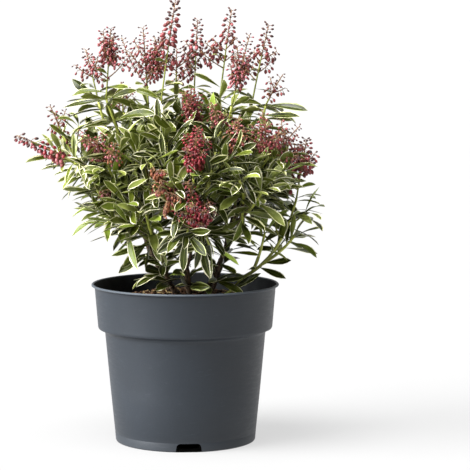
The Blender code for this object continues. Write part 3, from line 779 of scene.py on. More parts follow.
# %% Curves with knuckles
GREEN_STEM = "stem_low_right"  # this year's wood, still green, so it is made with the shoots
SLIM = 0.88  # the bark's relief adds the rest of the thickness
KNUCKLE, KNUCKLE_STEP = 0.16, 10 * MM
FLARE, FLARE_HEIGHT = 0.35, 16 * MM  # a stem is thicker at its foot
SWAY, SWAY_X, SWAY_Y = 0.35 * MM, 9 * MM, 7 * MM
wood = bpy.data.curves.new("woody_stems", "CURVE")
wood.dimensions = "3D"
wood.bevel_depth = MM
wood.bevel_resolution = 6
wood.use_fill_caps = True
wood.materials.append(BARK_FINISH)
dice = random.Random("wood")
old_limbs = [limb for limb in limbs if limb[0] != GREEN_STEM]
for _, path, start_radius, end_radius in old_limbs:
    count = 3 * (len(path) - 1)
    spline = wood.splines.new("POLY")
    spline.points.add(count - 1)
    phase = dice.uniform(0, 1)
    for index, share in enumerate(even(count)):
        run = share * path_length(path)
        point, _ = along(path, share)
        sway = Vector((math.sin(run / SWAY_X + phase * 9), math.cos(run / SWAY_Y), 0))
        knuckle = max(0, math.cos((run / KNUCKLE_STEP + phase) * math.tau)) ** 6
        flare = max(0, 1 - run / FLARE_HEIGHT) if start_radius == FOOT_RADIUS else 0
        radius = start_radius + share * (end_radius - start_radius)
        spline.points[index].co = (*(point + sway * SWAY), 1)
        spline.points[index].radius = radius * (SLIM + KNUCKLE * knuckle + FLARE * flare) / MM
stems = bpy.data.objects.new("woody_stems", wood)
bpy.context.scene.collection.objects.link(stems)
select_only(stems)
bpy.ops.object.convert(target="MESH")
stems = bpy.context.object
print("wood faces before the relief:", len(stems.data.polygons))

# %% Bark relief
bark_texture = bpy.data.textures.new("bark_splits", "CLOUDS")
bark_texture.noise_scale = 2.6 * MM
relief = stems.modifiers.new("bark", "DISPLACE")
relief.texture = bark_texture
relief.texture_coords = "LOCAL"
relief.strength = 1.1 * MM
bpy.ops.object.modifier_apply(modifier=relief.name)
bpy.ops.object.shade_smooth()
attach(stems, "root")
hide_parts(*[name for name, *_ in old_limbs])
print("woody stems:", len(stems.data.polygons), "faces")

# %% [markdown]
# ## Leaves
#
# A pieris leaf is a slim blade on a short stalk, widest past its middle, folded a
# little along its pale midrib and arched over. The cream edge is part of the blade and
# wanders, so the net of a leaf has five strips, cream, green, rib, green and cream, and
# the line between cream and green moves in and out from one station to the next.

# %% One leaf
STATIONS = np.array([0, 0.09, 0.22, 0.38, 0.55, 0.72, 0.87, 1.0])
HALF_WIDTHS = np.array([0.10, 0.14, 0.40, 0.70, 0.93, 1.0, 0.72, 0.04])
GREEN_REACH = np.array([1.10, 1.06, 1.02, 1.0, 1.0, 0.99, 0.90, 0.40])
RIB_REACH = 0.045 * (1 - 0.5 * STATIONS) / HALF_WIDTHS
LEAST_GREEN, MOST_GREEN = 0.12, 0.94  # shares of the half width
ROWS = len(STATIONS)
COLUMNS = 6
LEAF_FACES = [(COLUMNS * i + j, COLUMNS * i + j + 1, COLUMNS * (i + 1) + j + 1, COLUMNS * (i + 1) + j)
              for i in range(ROWS - 1) for j in range(COLUMNS - 1)]
STEPS = np.diff(STATIONS, prepend=0)
print("faces in a leaf:", len(LEAF_FACES))


def green_edge(reach, margin, dice):
    """Where the green ends on one side, as a share of the half width at each station."""
    wander = margin * np.array([dice.uniform(-0.5, 0.5) for _ in range(ROWS)])
    return np.clip(reach + wander, LEAST_GREEN, MOST_GREEN)


def blade_points(root, way, face, length, width, arch, fold, twist, margin, dice):
    """The net of a leaf: rows from its root to its tip, six points across."""
    angle = arch * STATIONS ** 1.3
    heading = np.outer(np.cos(angle), way) - np.outer(np.sin(angle), face)
    upper = np.outer(np.cos(angle), face) + np.outer(np.sin(angle), way)
    centre = np.array(root) + np.cumsum(heading * (STEPS * length)[:, None], axis=0)
    side = np.cross(way, face)
    turn = twist * STATIONS
    lying = np.cos(turn)[:, None] * side + np.sin(turn)[:, None] * upper
    lifted = np.cos(turn)[:, None] * upper - np.sin(turn)[:, None] * side
    half = HALF_WIDTHS * width / 2
    left, right = (green_edge((1 - margin) * GREEN_REACH, margin, dice) for _ in range(2))
    rib = np.minimum(RIB_REACH, 0.5 * np.minimum(left, right))
    across = np.stack([-np.ones(ROWS), -left, -rib, rib, right, np.ones(ROWS)], axis=1) * half[:, None]
    lift = np.abs(across) * math.tan(fold)
    points = centre[:, None] + across[..., None] * lying[:, None] + lift[..., None] * lifted[:, None]
    return points.reshape(-1, 3)


# %% [markdown]
# Leaves stand where the source's rule puts them, in a spiral down from the tip of
# each shoot, upright at the tip and spreading lower down. The solids have eight broad
# leaves to a shoot. Here there are about twice as many, slimmer ones, and short side
# twigs carry whorls of their own, as they do on the plant.

# %% How each mass grows
# Greens with their weights, the cream share of the blade's half width, the leaves of a
# shoot, how much longer and how much more drooping than the others they are, and how
# far down from the tip they stand, in mm.
Growth = namedtuple("Growth", "greens margin leaves length droop leafy", defaults=(20, 1.0, 0.06, 56))
GROWTHS = {
    "left_top": Growth(("mid", "pale", "mid"), 0.14, 12, 1.15, 0.22),
    "left_far": Growth(("mid", "pale", "mid"), 0.26, 18, 1.0, 0.20),
    "left_mid": Growth(("mid", "pale", "pale"), 0.22),
    "left_front": Growth(("mid", "pale", "fresh"), 0.21, 17, 1.06, 0.0, 48),
    "top_left": Growth(("mid", "pale", "pale"), 0.20, 18, 1.0, 0.15),
    "top_mid": Growth(("mid", "pale", "pale"), 0.20, 18),
    "centre_top": Growth(("deep", "mid", "deep"), 0.17),
    "centre_mid": Growth(("deep", "mid", "pale"), 0.18),
    "centre_front": Growth(("deep", "deep", "mid"), 0.15, 20, 1.04),
    "right_top": Growth(("mid", "pale", "pale"), 0.20, 18),
    "right_crest": Growth(("mid", "pale", "pale"), 0.18, 14, 1.08, 0.30),
    # The masses on the right take the paler greens: painted light on the side that the key lamp leaves in
    # shade.
    "right_mid": Growth(("pale", "mid", "pale", "fresh"), 0.21, 16),
    "right_front": Growth(("pale", "mid", "pale", "fresh"), 0.20, 15),
    "far_right": Growth(("fresh", "pale", "mid"), 0.12, 15, 0.94, 0.06, 50),
}
# Masses missing from the table, the back ones, take the deepest greens: painted shade for the inside of the
# crown, seen through its gaps. The single leaves and the leaves round the stems share these greens.
DEFAULT_GROWTH = Growth(("deep", "deep", "mid"), 0.14)
OLD_FROM = 0.6  # from this share down the shoot the leaves are older,
OLD_GREENS = ("deep", "deep")  # so these come in among the greens
LIME_SHARE = 0.03
print("growths:", len(GROWTHS))

# %% A leaf in its place
LEAF_LENGTH = 40 * MM
LEAF_WIDTH = 8.5 * MM
POT_RIM = 162 * MM  # leaves keep above this,
POT_ROOM, OVER_SOIL = 85 * MM, 4 * MM  # or inside this radius and this far over the compost
LEAN = 0.3  # leaves lean their faces out to the light,
FACE_JITTER = 0.7  # and each turns its face a little its own way
ARCH, DROOP_ARCH = (-10, 44), 40  # in degrees, as FOLD and TWIST are
FOLD = (6, 28)
TWIST = (-45, 45)
MARGINS = (0.5, 0.7, 0.8, 1.0, 1.2, 2.0)  # some edges are slim, and a few are broad
GREEN_NAMES = list(GREENS)
CREAM_KINDS = (0, 0, 1, 1, 2)  # as the colours stand in CREAMS, with their weights
RIB = len(GREENS) + len(CREAMS)


def clear_of_pot(points):
    """Above the rim, or inside it and above the compost."""
    radius = np.hypot(points[:, 0], points[:, 1])
    inside = (radius < POT_ROOM) & (points[:, 2] > SOIL_TOP + OVER_SOIL)
    return bool(((points[:, 2] > POT_RIM) | inside).all())


def grow_leaf(basket, root, way, face, share, growth, dice):
    """Adds one leaf that leaves its root along way, unless it would touch the pot."""
    face = face + Vector((way.x, way.y, 0)) * LEAN
    face += Vector((dice.uniform(-FACE_JITTER, FACE_JITTER), dice.uniform(-FACE_JITTER, FACE_JITTER), 0))
    face = (face - way * face.dot(way)).normalized()
    arch = math.radians(dice.uniform(*ARCH) + DROOP_ARCH * growth.droop)
    fold = math.radians(dice.uniform(*FOLD))
    twist = math.radians(dice.uniform(*TWIST))
    margin = growth.margin * dice.choice(MARGINS)
    length = LEAF_LENGTH * share * growth.length
    width = LEAF_WIDTH * (0.5 + 0.5 * share) * growth.length * dice.uniform(0.85, 1.15)
    points = blade_points(root, way, face, length, width, arch, fold, twist, margin, dice)
    green = GREEN_NAMES.index(dice.choice(growth.greens) if dice.random() > LIME_SHARE else "lime")
    cream = len(GREENS) + dice.choice(CREAM_KINDS)
    if clear_of_pot(points):
        basket.add([tuple(p) for p in points], LEAF_FACES, [cream, green, RIB, green, cream] * (ROWS - 1))


print("looks that leaves choose from:", RIB + 1)

# %% A whorl, and the twigs that bear more of them
SPREAD_TOP = math.radians(24)
SPREAD_UNDER_SPRAY = math.radians(58)  # leaves make room for the stalk of a spray
SPREAD_FOOT = math.radians(82)
SPREAD_JITTER = math.radians(14)
CROWDS_TIP = 1.4  # above 1, leaves crowd at the tip of a shoot
SEEKS_LIGHT = (0.1, 0.8)  # a leaf that would hang keeps between these shares of its way down
FLAT_SHARE = 0.6  # of the leaves turn their faces well up
CREST = 322 * MM  # from here up the shoots are open, with fewer twigs
LONG_SHOOT = 60 * MM
TWIG_LENGTH = (17, 27)
TWIG_POINTS = 5


def grow_whorl(basket, path, count, reach, growth, dice, opening=SPREAD_TOP):
    """Leaves in a spiral down from the tip of a path, each turned up to the light."""
    length = path_length(path)
    first = dice.uniform(0, math.tau)
    for index, back in enumerate(even(count)):
        root, axis = along(path, max(0, 1 - reach * back ** CROWDS_TIP / length))
        out = spoke(axis, first + index * TURN)
        spread = opening + back * (SPREAD_FOOT - opening) + dice.uniform(-SPREAD_JITTER, SPREAD_JITTER)
        way = axis * math.cos(spread) + out * math.sin(spread)
        way += Vector((dice.uniform(-0.12, 0.12), dice.uniform(-0.12, 0.12), -growth.droop))
        way.z *= dice.uniform(*SEEKS_LIGHT) if way.z < 0 else 1
        face = axis * 0.45 + UP if dice.random() < FLAT_SHARE else axis + UP * 0.3
        share = (0.80 + 0.20 * back) * dice.uniform(0.82, 1.15)
        aged = growth if back < OLD_FROM else growth._replace(greens=growth.greens + OLD_GREENS)
        grow_leaf(basket, root, way.normalized(), face, share, aged, dice)


def side_twigs(path, dice):
    """Short twigs that leave a shoot and turn up."""
    twigs = []
    shares = [0.40, 0.58, 0.76] if path_length(path) > LONG_SHOOT else [0.5]
    if path[-1].z > CREST:
        shares = [0.34, 0.50]
    for index, share in enumerate(shares):
        root, axis = along(path, share)
        out = spoke(axis, index * TURN + dice.uniform(0, 1))
        tip = root + (axis * 0.55 + out * 0.8 + UP * 0.3).normalized() * dice.uniform(*TWIG_LENGTH) * MM
        twigs.append(bend(root, root + out * 8 * MM, tip, TWIG_POINTS))
    return twigs


print("leaves spread by", [round(math.degrees(angle)) for angle in (SPREAD_TOP, SPREAD_FOOT)], "degrees")

# %% A leafy shoot, and the stalk of its spray
LOW_SHOOT = 172 * MM  # shoots that end this low have half the leaves,
HIGH_SHOOT = 240 * MM  # and from here up they have all of them, and side twigs
LEAFY_MOST = 0.85  # no more than this share of a shoot bears leaves
OLD_WOOD, OLIVE_WOOD = 0.22, 0.45  # the shares of a shoot where its bark stops being brown, and olive
FRESH_SHOOTS = ("far_right", "left_front")  # this year's shoots, without any brown bark
NODE_SWELLING = 0.12
TWIG_LEAVES, TWIG_LEAFY = 0.4, 0.7  # shares of a shoot's leaves, and of a twig's length
STALK_LEAVES = 5  # small ones on the bare part of a spray that stands high
HIGH_SPRAY = 0.3  # its bare share is above this,
STALK_LEAFY = 0.75  # and this much of it bears the leaves
young_wood = Basket("young_wood", [STALKS["lime"], STALKS["olive"], STALKS["brown"]])
LIME, OLIVE, BROWN = range(3)


def clothe_shoot(basket, path, opening, growth, old_wood, dice):
    """Gives a shoot its leaves, its bark and, if it stands high, its side twigs."""
    fullness = min(1, max(0.5, (path[-1].z - LOW_SHOOT) / (HIGH_SHOOT - LOW_SHOOT)))
    reach = min(growth.leafy * MM, LEAFY_MOST * path_length(path)) * fullness
    grow_whorl(basket, path, round(growth.leaves * fullness), reach, growth, dice, opening)
    ages = [index / (len(path) - 1) for index in range(len(path) - 1)]
    kinds = [BROWN if age < old_wood else OLIVE if age < OLIVE_WOOD else LIME for age in ages]
    radii = tapered(1.8, 1.1, len(path))
    tube(young_wood, path, [r * (1 + NODE_SWELLING * (i % 3 == 1)) for i, r in enumerate(radii)], 8, kinds)
    for twig in side_twigs(path, dice) if path[-1].z > HIGH_SHOOT else ():
        tube(young_wood, twig, tapered(1.1, 0.7, TWIG_POINTS), 6, OLIVE)
        leaves = round(TWIG_LEAVES * growth.leaves)
        grow_whorl(basket, twig, leaves, TWIG_LEAFY * path_length(twig), growth, dice)


def clothe_stalk(basket, main, bare, growth, dice):
    """Gives the bare foot of a spray that stands high a few leaves, smaller upwards."""
    for index, share in enumerate(even(STALK_LEAVES) if bare > HIGH_SPRAY else ()):
        root, axis = along(main, STALK_LEAFY * bare * share)
        way = (axis * dice.uniform(0.0, 0.5) + spoke(axis, index * TURN)).normalized()
        size = dice.uniform(0.75, 0.9) - 0.4 * index / STALK_LEAVES
        grow_leaf(basket, root, way, UP, size, growth, dice)


print("leafy shoots:", sum(len(plan.leafy) for plan in plans.values()))

# %% Single leaves, and leaves round the stems
# Leaves that stand out: whose path, the share of its length, and the leaf's tip.
SINGLE_LEAVES = (
    (stem_paths["left_back"], 0.60, (-65, -14, 171)),
    (stem_paths["left"], 0.62, (-47, -32, 181)),
    (stem_paths["left"], 0.52, (-40, -34, 166)),
    (stem_paths["left"], 0.42, (-30, -40, 157)),
    (stem_paths["centre"], 0.50, (-8, -50, 172)),
    (stem_paths["right"], 0.40, (34, -48, 166)),
    (stem_paths["left"], 0.35, (-22, -50, 165)),
    (stem_paths["centre"], 0.30, (-6, -54, 164)),
    (stem_paths["centre"], 0.22, (16, -54, 161)),
    (stem_paths["right"], 0.22, (24, -49, 160)),
    (stem_paths["right"], 0.25, (44, -44, 161)),
    (stem_paths["right"], 0.30, (58, -30, 168)),
    (stem_paths["low_right"], 0.25, (54, -50, 161)),
    (stem_paths["low_right"], 0.35, (77, -30, 168)),
    (stem_paths["right_back"], 0.35, (42, -18, 182)),
    (stem_paths["centre_back"], 0.30, (12, -24, 180)),
    (plans["far_right"].leafy[0], 0.26, (107, -24, 179)),
    (plans["far_right"].leafy[0], 0.20, (98, -34, 164)),
    (plans["far_right"].leafy[0], 0.16, (64, -44, 173)),
    (plans["left_top"].leafy[0], 1.0, (-119, -26, 334)),
    (plans["left_top"].leafy[0], 0.92, (-122, -20, 325)),
    (plans["left_top"].leafy[1], 1.0, (-118, 14, 364)),
    (plans["right_crest"].leafy[1], 1.0, (121, -16, 333)),
    (plans["right_crest"].leafy[1], 0.9, (113, -24, 322)),
)
print("single leaves:", len(SINGLE_LEAVES))
SHOWN = Vector((0, -0.7, 0.6))  # they show their upper side to whoever looks at the plant
LOW_LEAVES = 13  # on each woody stem, from this share of its length up
LOW_LEAVES_FROM = 0.36


def clothe_stems(basket, dice):
    """Adds the single leaves, and a spiral of leaves round each woody stem."""
    for path, share, tip in SINGLE_LEAVES:
        root, _ = along(path, share)
        way = at(*tip) - root
        size = way.length / LEAF_LENGTH
        way = (way.normalized() + UP * 0.2).normalized()
        grow_leaf(basket, root, way, SHOWN, size, DEFAULT_GROWTH, dice)
    for path in [path for stem, path in stem_paths.items() if f"stem_{stem}" != GREEN_STEM]:
        first = dice.uniform(0, math.tau)
        for index, share in enumerate(even(LOW_LEAVES)):
            root, axis = along(path, LOW_LEAVES_FROM + (1 - LOW_LEAVES_FROM) * share)
            way = (spoke(axis, first + index * TURN) * 0.9 + axis * dice.uniform(0.1, 0.6)).normalized()
            grow_leaf(basket, root, way, UP, dice.uniform(0.65, 0.95), DEFAULT_GROWTH, dice)


# %% Leaves and young wood, mass by mass
REGIONS = {
    "leaves_left": ("left_top", "left_far", "left_mid", "left_front", "top_left"),
    "leaves_middle": ("top_mid", "centre_top", "centre_mid", "centre_front", "right_top"),
    "leaves_right": ("right_crest", "right_mid", "right_front", "far_right"),
    "leaves_back": tuple(BACK_MASSES),
}
leaf_looks = list(GREENS.values()) + list(CREAMS.values()) + [MIDRIB]
for region, names in REGIONS.items():
    basket = Basket(region, leaf_looks)
    for name in names:
        growth = GROWTHS.get(name, DEFAULT_GROWTH)
        old_wood = 0 if name in FRESH_SHOOTS else OLD_WOOD
        dice = random.Random(name + " leaves")
        for path, shoot in zip(plans[name].leafy, MASSES[name].shoots):
            opening = SPREAD_UNDER_SPRAY if shoot.flower else SPREAD_TOP
            clothe_shoot(basket, path, opening, growth, old_wood, dice)
        dice = random.Random(name + " stalk leaves")
        for main, bare, _ in plans[name].flowers:
            clothe_stalk(basket, main, bare, growth, dice)
    if region == "leaves_middle":
        clothe_stems(basket, random.Random("single leaves"))
    basket.make("foliage", *[f"foliage_{name}" for name in names])
green_path = stem_paths["low_right"]
tube(young_wood, green_path, tapered(2.0, 1.5, len(green_path)), 12, LIME)
young_wood.make("bark", GREEN_STEM)

# %% [markdown]
# ## Flower sprays
#
# Pieris sets its buds in autumn on long sprays. Each bud is a little urn on a short
# curved stalk, with a dark calyx at its base. Buds near the foot of a spray are the
# largest and hang, and those at its tip are small, dusky and point outwards. A bud
# is a lathe shape of six sides, copied along every stalk in a spiral.

# %% One bud
BUD_RINGS = ((0.0, 0.30), (0.13, 0.72), (0.22, 0.80), (0.52, 1.0), (0.80, 0.72), (1.0, 0.26))
BUD_SIDES = 6
BUD_FATNESS = 0.37  # its greatest radius as a share of its length
BUD_NAMES = list(BUDS)
CALYX = len(BUDS)
CALYX_BANDS = 2  # the bands of faces at its foot that are calyx
print("faces in a bud:", (len(BUD_RINGS) - 1) * BUD_SIDES + 2)


def grow_bud(basket, root, way, size, kind):
    """Adds one bud: rings at shares of its length, whose radii are shares of the greatest."""
    across = way.orthogonal().normalized()
    points = []
    for height, radius in BUD_RINGS:
        centre = root + way * size * height
        points += ring_points(centre, across, way.cross(across), size * BUD_FATNESS * radius, BUD_SIDES)
    kinds = [CALYX] * CALYX_BANDS + [kind] * (len(BUD_RINGS) - 1 - CALYX_BANDS)
    basket.add(points, *skin(len(BUD_RINGS), BUD_SIDES, kinds))


# %% The sprays, one by one
# Arms are side stalks: how many, the shares of the main stalk between which they leave
# it, their spread in degrees, their length as a share of the main stalk, their bare
# share, and the bearing that they keep to, in degrees from the right, where they don't
# go all round. A spray has its colours, how close its buds stand, their size, the share
# of a stalk where buds start to be dusky, and its arms.
Arms = namedtuple("Arms", "count low high spread reach bare bearing", defaults=(None,))
Spray = namedtuple("Spray", "hues closeness size dusk arms")
SPRAYS = {
    ("left_top", 0): Spray("coral dull coral pink", 1.2, 1.0, 0.80, (
        Arms(1, 0.30, 0.30, 45, 0.40, 0.45, 180),
        Arms(1, 0.26, 0.26, 62, 0.16, 0.30, 180),
        Arms(1, 0.30, 0.30, 52, 0.36, 0.60, 0),
        Arms(8, 0.46, 0.70, 26, 0.28, 0.10),
    )),
    ("left_top", 1): Spray("coral dull", 0.9, 1.0, 0.6, (Arms(3, 0.40, 0.55, 42, 0.34, 0.30),)),
    ("left_far", 0): Spray("coral red pink", 1.5, 1.40, 0.45, ()),
    ("left_far", 1): Spray("dull red dull", 0.9, 0.95, 0.3, (
        Arms(3, 0.05, 0.40, 60, 0.50, 0.20),
        Arms(1, 0.02, 0.02, 150, 0.75, 0.10, 0),
    )),
    ("left_mid", 0): Spray("pink dull coral", 1.1, 0.85, 0.8, (Arms(5, 0.0, 0.35, 45, 0.60, 0.10),)),
    ("left_mid", 1): Spray("pink brown", 0.9, 0.85, 0.8, (Arms(3, 0.10, 0.40, 35, 0.60, 0.20),)),
    ("left_front", 2): Spray("dull pink", 0.8, 0.85, 0.7, (Arms(2, 0.10, 0.40, 40, 0.60, 0.20),)),
    ("top_left", 0): Spray("coral pink coral dull", 1.0, 0.92, 0.6, (
        Arms(1, 0.28, 0.28, 24, 0.62, 0.30, 180),
        Arms(2, 0.34, 0.44, 26, 0.52, 0.25, 0),
        Arms(7, 0.32, 0.62, 52, 0.38, 0.25, 0),
        Arms(5, 0.34, 0.62, 48, 0.32, 0.20),
    )),
    ("top_left", 1): Spray("coral dull", 1.1, 0.9, 0.8, (Arms(4, 0.1, 0.5, 45, 0.55, 0.20),)),
    ("top_mid", 0): Spray("coral pink dull", 0.95, 1.1, 0.6, (
        Arms(3, 0.30, 0.62, 54, 0.44, 0.40, 0),
        Arms(2, 0.24, 0.56, 54, 0.42, 0.50),
    )),
    ("top_mid", 1): Spray("coral dull coral", 1.15, 1.50, 0.35, (Arms(2, 0.44, 0.56, 44, 0.12, 0.30),)),
    ("top_mid", 2): Spray("dull coral dull", 1.2, 1.22, 0.30, (
        Arms(3, 0.42, 0.62, 44, 0.18, 0.30, 180),
        Arms(1, 0.50, 0.58, 46, 0.16, 0.35, 0),
    )),
    ("centre_top", 0): Spray("dull red dull", 1.8, 0.88, 0.95, (Arms(6, 0.02, 0.40, 18, 0.46, 0.05),)),
    ("centre_top", 2): Spray("coral dull", 1.1, 0.9, 0.9, (Arms(3, 0.15, 0.40, 35, 0.50, 0.20),)),
    # The next two sprays, low in the middle of the crown, mix dull and brown buds in among the red: painted
    # shade where the leaves overhang them.
    ("centre_mid", 1): Spray("brown dull brown brown red", 1.3, 0.95, 0.95, (
        Arms(8, 0.10, 0.70, 40, 0.34, 0.10),
    )),
    ("centre_front", 0): Spray("red dull red", 2.6, 1.02, 0.95, (Arms(9, 0.18, 0.52, 34, 0.36, 0.10),)),
    ("centre_front", 1): Spray("red coral red", 2.2, 1.02, 0.5, (Arms(14, 0.16, 0.50, 66, 0.36, 0.05),)),
    ("right_top", 0): Spray("coral dull pink", 1.0, 0.9, 0.60, (Arms(12, 0.24, 0.56, 28, 0.24, 0.05),)),
    ("right_top", 1): Spray("dull coral dull", 1.1, 1.25, 0.30, (
        Arms(4, 0.34, 0.54, 58, 0.28, 0.40, 180),
        Arms(2, 0.42, 0.56, 46, 0.18, 0.40, 0),
    )),
    ("right_crest", 0): Spray("dull coral dull", 1.1, 1.25, 0.30, (
        Arms(3, 0.32, 0.54, 56, 0.24, 0.45, 180),
        Arms(2, 0.42, 0.58, 48, 0.20, 0.40, 0),
    )),
    ("right_crest", 1): Spray("coral dull brown", 0.75, 0.95, 0.5, (Arms(3, 0.30, 0.55, 46, 0.40, 0.40),)),
    ("right_mid", 0): Spray("coral dull coral", 1.05, 0.95, 0.7, (Arms(7, 0.05, 0.50, 54, 0.52, 0.25),)),
    ("right_mid", 1): Spray("dull coral dusky", 1.0, 0.92, 0.5, (
        Arms(6, 0.10, 0.50, 54, 0.60, 0.35),
        Arms(1, 0.02, 0.02, 56, 0.80, 0.20, 0),
    )),
    ("right_mid", 2): Spray("coral brown pink", 1.1, 0.9, 0.8, (Arms(6, 0.05, 0.45, 26, 0.50, 0.10),)),
    ("far_right", 0): Spray("dull coral coral", 1.5, 1.25, 0.6, (
        Arms(5, 0.42, 0.60, 50, 0.30, 0.25),
        Arms(2, 0.16, 0.40, 66, 0.14, 0.50, 180),
    )),
}
print("sprays:", len(SPRAYS))

# %% Side stalks, and buds along a stalk
ARM_POINTS = 6
ARM_BEND = 0.12
BUD_STEP = 1.35 * MM
BUD_SIZE = 4.3 * MM
LEAST_BUDS = 4
CROWDS_FOOT = 1.1  # above 1, buds crowd at the foot of a stalk
HANGS = 1.4  # how strongly the buds of a stalk that lies turn down
BUD_STALK, BUD_STALK_AT_TIP = 5.4 * MM, 3.5 * MM
RACHIS, GREEN_STALK = range(2)


def arm_paths(main, arms, dice):
    """The side stalks of a spray: they leave outwards and turn up along the main one."""
    paths = []
    first = dice.uniform(0, math.tau)
    for index in range(arms.count):
        share = arms.low + (arms.high - arms.low) * index / max(1, arms.count - 1)
        root, axis = along(main, share)
        out = spoke(axis, first + index * TURN)
        if arms.bearing is not None:
            bearing = math.radians(arms.bearing + dice.uniform(-50, 50))
            out = Vector((math.cos(bearing), math.sin(bearing), 0))
            out = (out - axis * out.dot(axis)).normalized()
        spread = math.radians(arms.spread + dice.uniform(-10, 10))
        reach = path_length(main) * arms.reach * dice.uniform(0.8, 1.15)
        end = root + (axis * math.cos(spread) + out * math.sin(spread)) * reach
        control = root.lerp(end, 0.5) + (out - axis * 0.3) * ARM_BEND * reach
        paths.append(bend(root, control, end, ARM_POINTS))
    return paths


def bud_row(basket, stalks, path, bare, spray, dice):
    """Buds in a spiral along a stalk, from its bare share to its tip."""
    hues = spray.hues.split()
    count = max(LEAST_BUDS, round(path_length(path) * (1 - bare) * spray.closeness / BUD_STEP))
    for index, share in enumerate(even(count)):
        young = share ** CROWDS_FOOT  # 0 at the foot of the row and 1 at its tip
        root, axis = along(path, bare + (1 - bare) * young)
        out = spoke(axis, index * TURN + dice.uniform(-0.3, 0.3))
        out = (out - UP * HANGS * (1 - axis.z)).normalized()
        stem_way = (out + axis * 0.35 + UP * 0.15).normalized()
        reach = (BUD_STALK + (BUD_STALK_AT_TIP - BUD_STALK) * young) * dice.uniform(0.75, 1.2)
        end = root + stem_way * reach
        knee = root + (stem_way + UP * 0.4).normalized() * reach * 0.6
        tube(stalks, [root, knee, end], [0.35 * MM, 0.3 * MM, 0.35 * MM], 3, RACHIS)
        way = (out * 0.8 - UP * 0.9 * (1 - young) + axis * 0.5 * young).normalized()
        hue = dice.choice(hues) if young < dice.uniform(spray.dusk, 1.0) else "dusky"
        size = BUD_SIZE * spray.size * (1 - 0.45 * young ** 1.2) * dice.uniform(0.85, 1.12)
        grow_bud(basket, end - way * 0.3 * MM, way, size, BUD_NAMES.index(hue))


print("side stalks in the table:", sum(arms.count for spray in SPRAYS.values() for arms in spray.arms))

# %% Stalks and buds
stalk_basket = Basket("flower_stalks", [STALKS["rachis"], STALKS["green"]])
bud_looks = list(BUDS.values()) + [STALKS["calyx"]]
bud_baskets = {region: Basket(region.replace("leaves", "flower_buds"), bud_looks) for region in REGIONS}
for name, plan in plans.items():
    dice = random.Random(name + " buds")
    basket = next(bud_baskets[region] for region, names in REGIONS.items() if name in names)
    pattern = BACK_MASSES[name][0] if name in BACK_MASSES else name
    for main, bare, number in plan.flowers:
        spray = SPRAYS[pattern, number]
        stretches = len(main) - 1
        kinds = [GREEN_STALK if i < 0.9 * bare * stretches else RACHIS for i in range(stretches)]
        tube(stalk_basket, main, tapered(0.95, 0.45, len(main)), 6, kinds)
        bud_row(basket, stalk_basket, main, bare, spray, dice)
        for arms in spray.arms:
            for path in arm_paths(main, arms, dice):
                tube(stalk_basket, path, tapered(0.7, 0.4, ARM_POINTS), 5, RACHIS)
                bud_row(basket, stalk_basket, path, arms.bare, spray, dice)
stalk_basket.make("foliage")
for basket in bud_baskets.values():
    basket.make("foliage")

# %% [markdown]
# ## Studio
#
# The photograph was taken on a pale sweep under large soft lights, the strongest from
# the upper left. A pale world gives the soft light from all round. Two broad suns stand
# for the large lights: one from the left that shapes the pot, and one from above that
# puts light on the leaves of both sides.

# %% Floor
FLOOR_SIZE = 60  # in metres, so that its edge is never seen
FLOOR_GLOW = 0.53  # the sweep is lit from under the table too
floor_finish, tree, shader, place = new_finish("studio_paper", 0.9)
fibre = add_node(tree, "TexNoise", {}, {"Vector": place, "Scale": per_metre(400), "Detail": 2})
paper = add_node(tree, "Mix", {"data_type": "RGBA"},
                 {0: fibre.outputs["Fac"], 6: colour("5C5C5C"), 7: colour("5F5F5F")})
tree.links.new(paper.outputs[2], shader.inputs["Base Color"])
shader.inputs["Specular IOR Level"].default_value = 0.1
shader.inputs["Emission Color"].default_value = (1, 1, 1, 1)
shader.inputs["Emission Strength"].default_value = FLOOR_GLOW
deselect()
bpy.ops.mesh.primitive_plane_add(size=FLOOR_SIZE)
floor = bpy.context.object
floor.name = "studio_floor"
floor.data.materials.append(floor_finish)
print("floor:", FLOOR_SIZE, "metres")

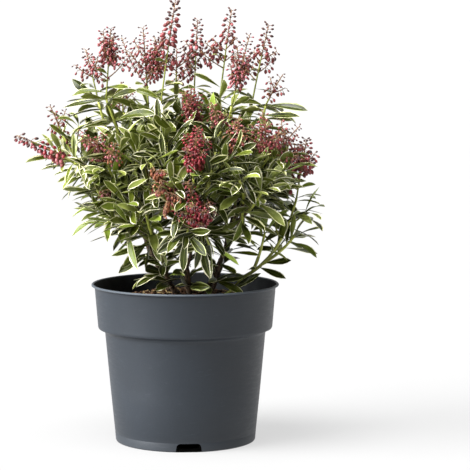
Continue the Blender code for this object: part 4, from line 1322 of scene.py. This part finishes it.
# %% The room
# The room lights the plant more from the side of the backdrop than from the side of the
# camera. What is seen of it behind the plant is an even white.
CAMERA_SIDE, BACKDROP_SIDE, BACKDROP_SEEN = 0.15, 0.52, 0.90
world = bpy.data.worlds.new("studio")
world.use_nodes = True
room = world.node_tree
bearing = add_node(room, "TexCoord", {}, {}).outputs["Generated"]
depth = add_node(room, "SeparateXYZ", {}, {"Vector": bearing}).outputs["Y"]
glow = add_node(room, "MapRange", {"interpolation_type": "SMOOTHSTEP"},
                {"Value": depth, 1: -0.3, 2: 0.9, 3: CAMERA_SIDE, 4: BACKDROP_SIDE})
seen = add_node(room, "LightPath", {}, {}).outputs["Is Camera Ray"]
strength = add_node(room, "Mix", {}, {0: seen, 2: glow.outputs[0], 3: BACKDROP_SEEN})
background = room.nodes["Background"]
background.inputs["Color"].default_value = (1, 1, 1, 1)
room.links.new(strength.outputs[0], background.inputs["Strength"])
bpy.context.scene.world = world
print("world:", world.name)


# %% The lamps
def sun(name, place, target, energy, width):
    """A sun that shines from a place to a target and looks this wide, in degrees."""
    deselect()
    bpy.ops.object.light_add(type="SUN", location=place)
    lamp = bpy.context.object
    lamp.name = name
    lamp.rotation_euler = (Vector(target) - Vector(place)).to_track_quat("-Z", "Y").to_euler()
    lamp.data.energy = energy
    lamp.data.angle = math.radians(width)


sun("key_light", (-2.0, -0.76, 1.35), (0, 0, 0.2), 7.9, 48)
sun("top_light", (-0.25, -0.40, 2.1), (0, 0, 0.25), 4.2, 30)
print("lamps:", len(bpy.data.lights))

# %% The camera, fitted to the pot's lip and foot in the photograph
CAMERA_PLACE = (0.05038, -2.0699, 0.41455)
CAMERA_DIP = 0.0991
deselect()
bpy.ops.object.camera_add(location=CAMERA_PLACE, rotation=(math.pi / 2 - CAMERA_DIP, 0, 0))
camera = bpy.context.object
camera.data.sensor_width = 36
camera.data.lens = 157.7
bpy.context.scene.camera = camera
bpy.context.scene.view_settings.view_transform = "Standard"
bpy.context.scene.view_settings.exposure = 0.25
print("lens, mm:", round(camera.data.lens, 1))
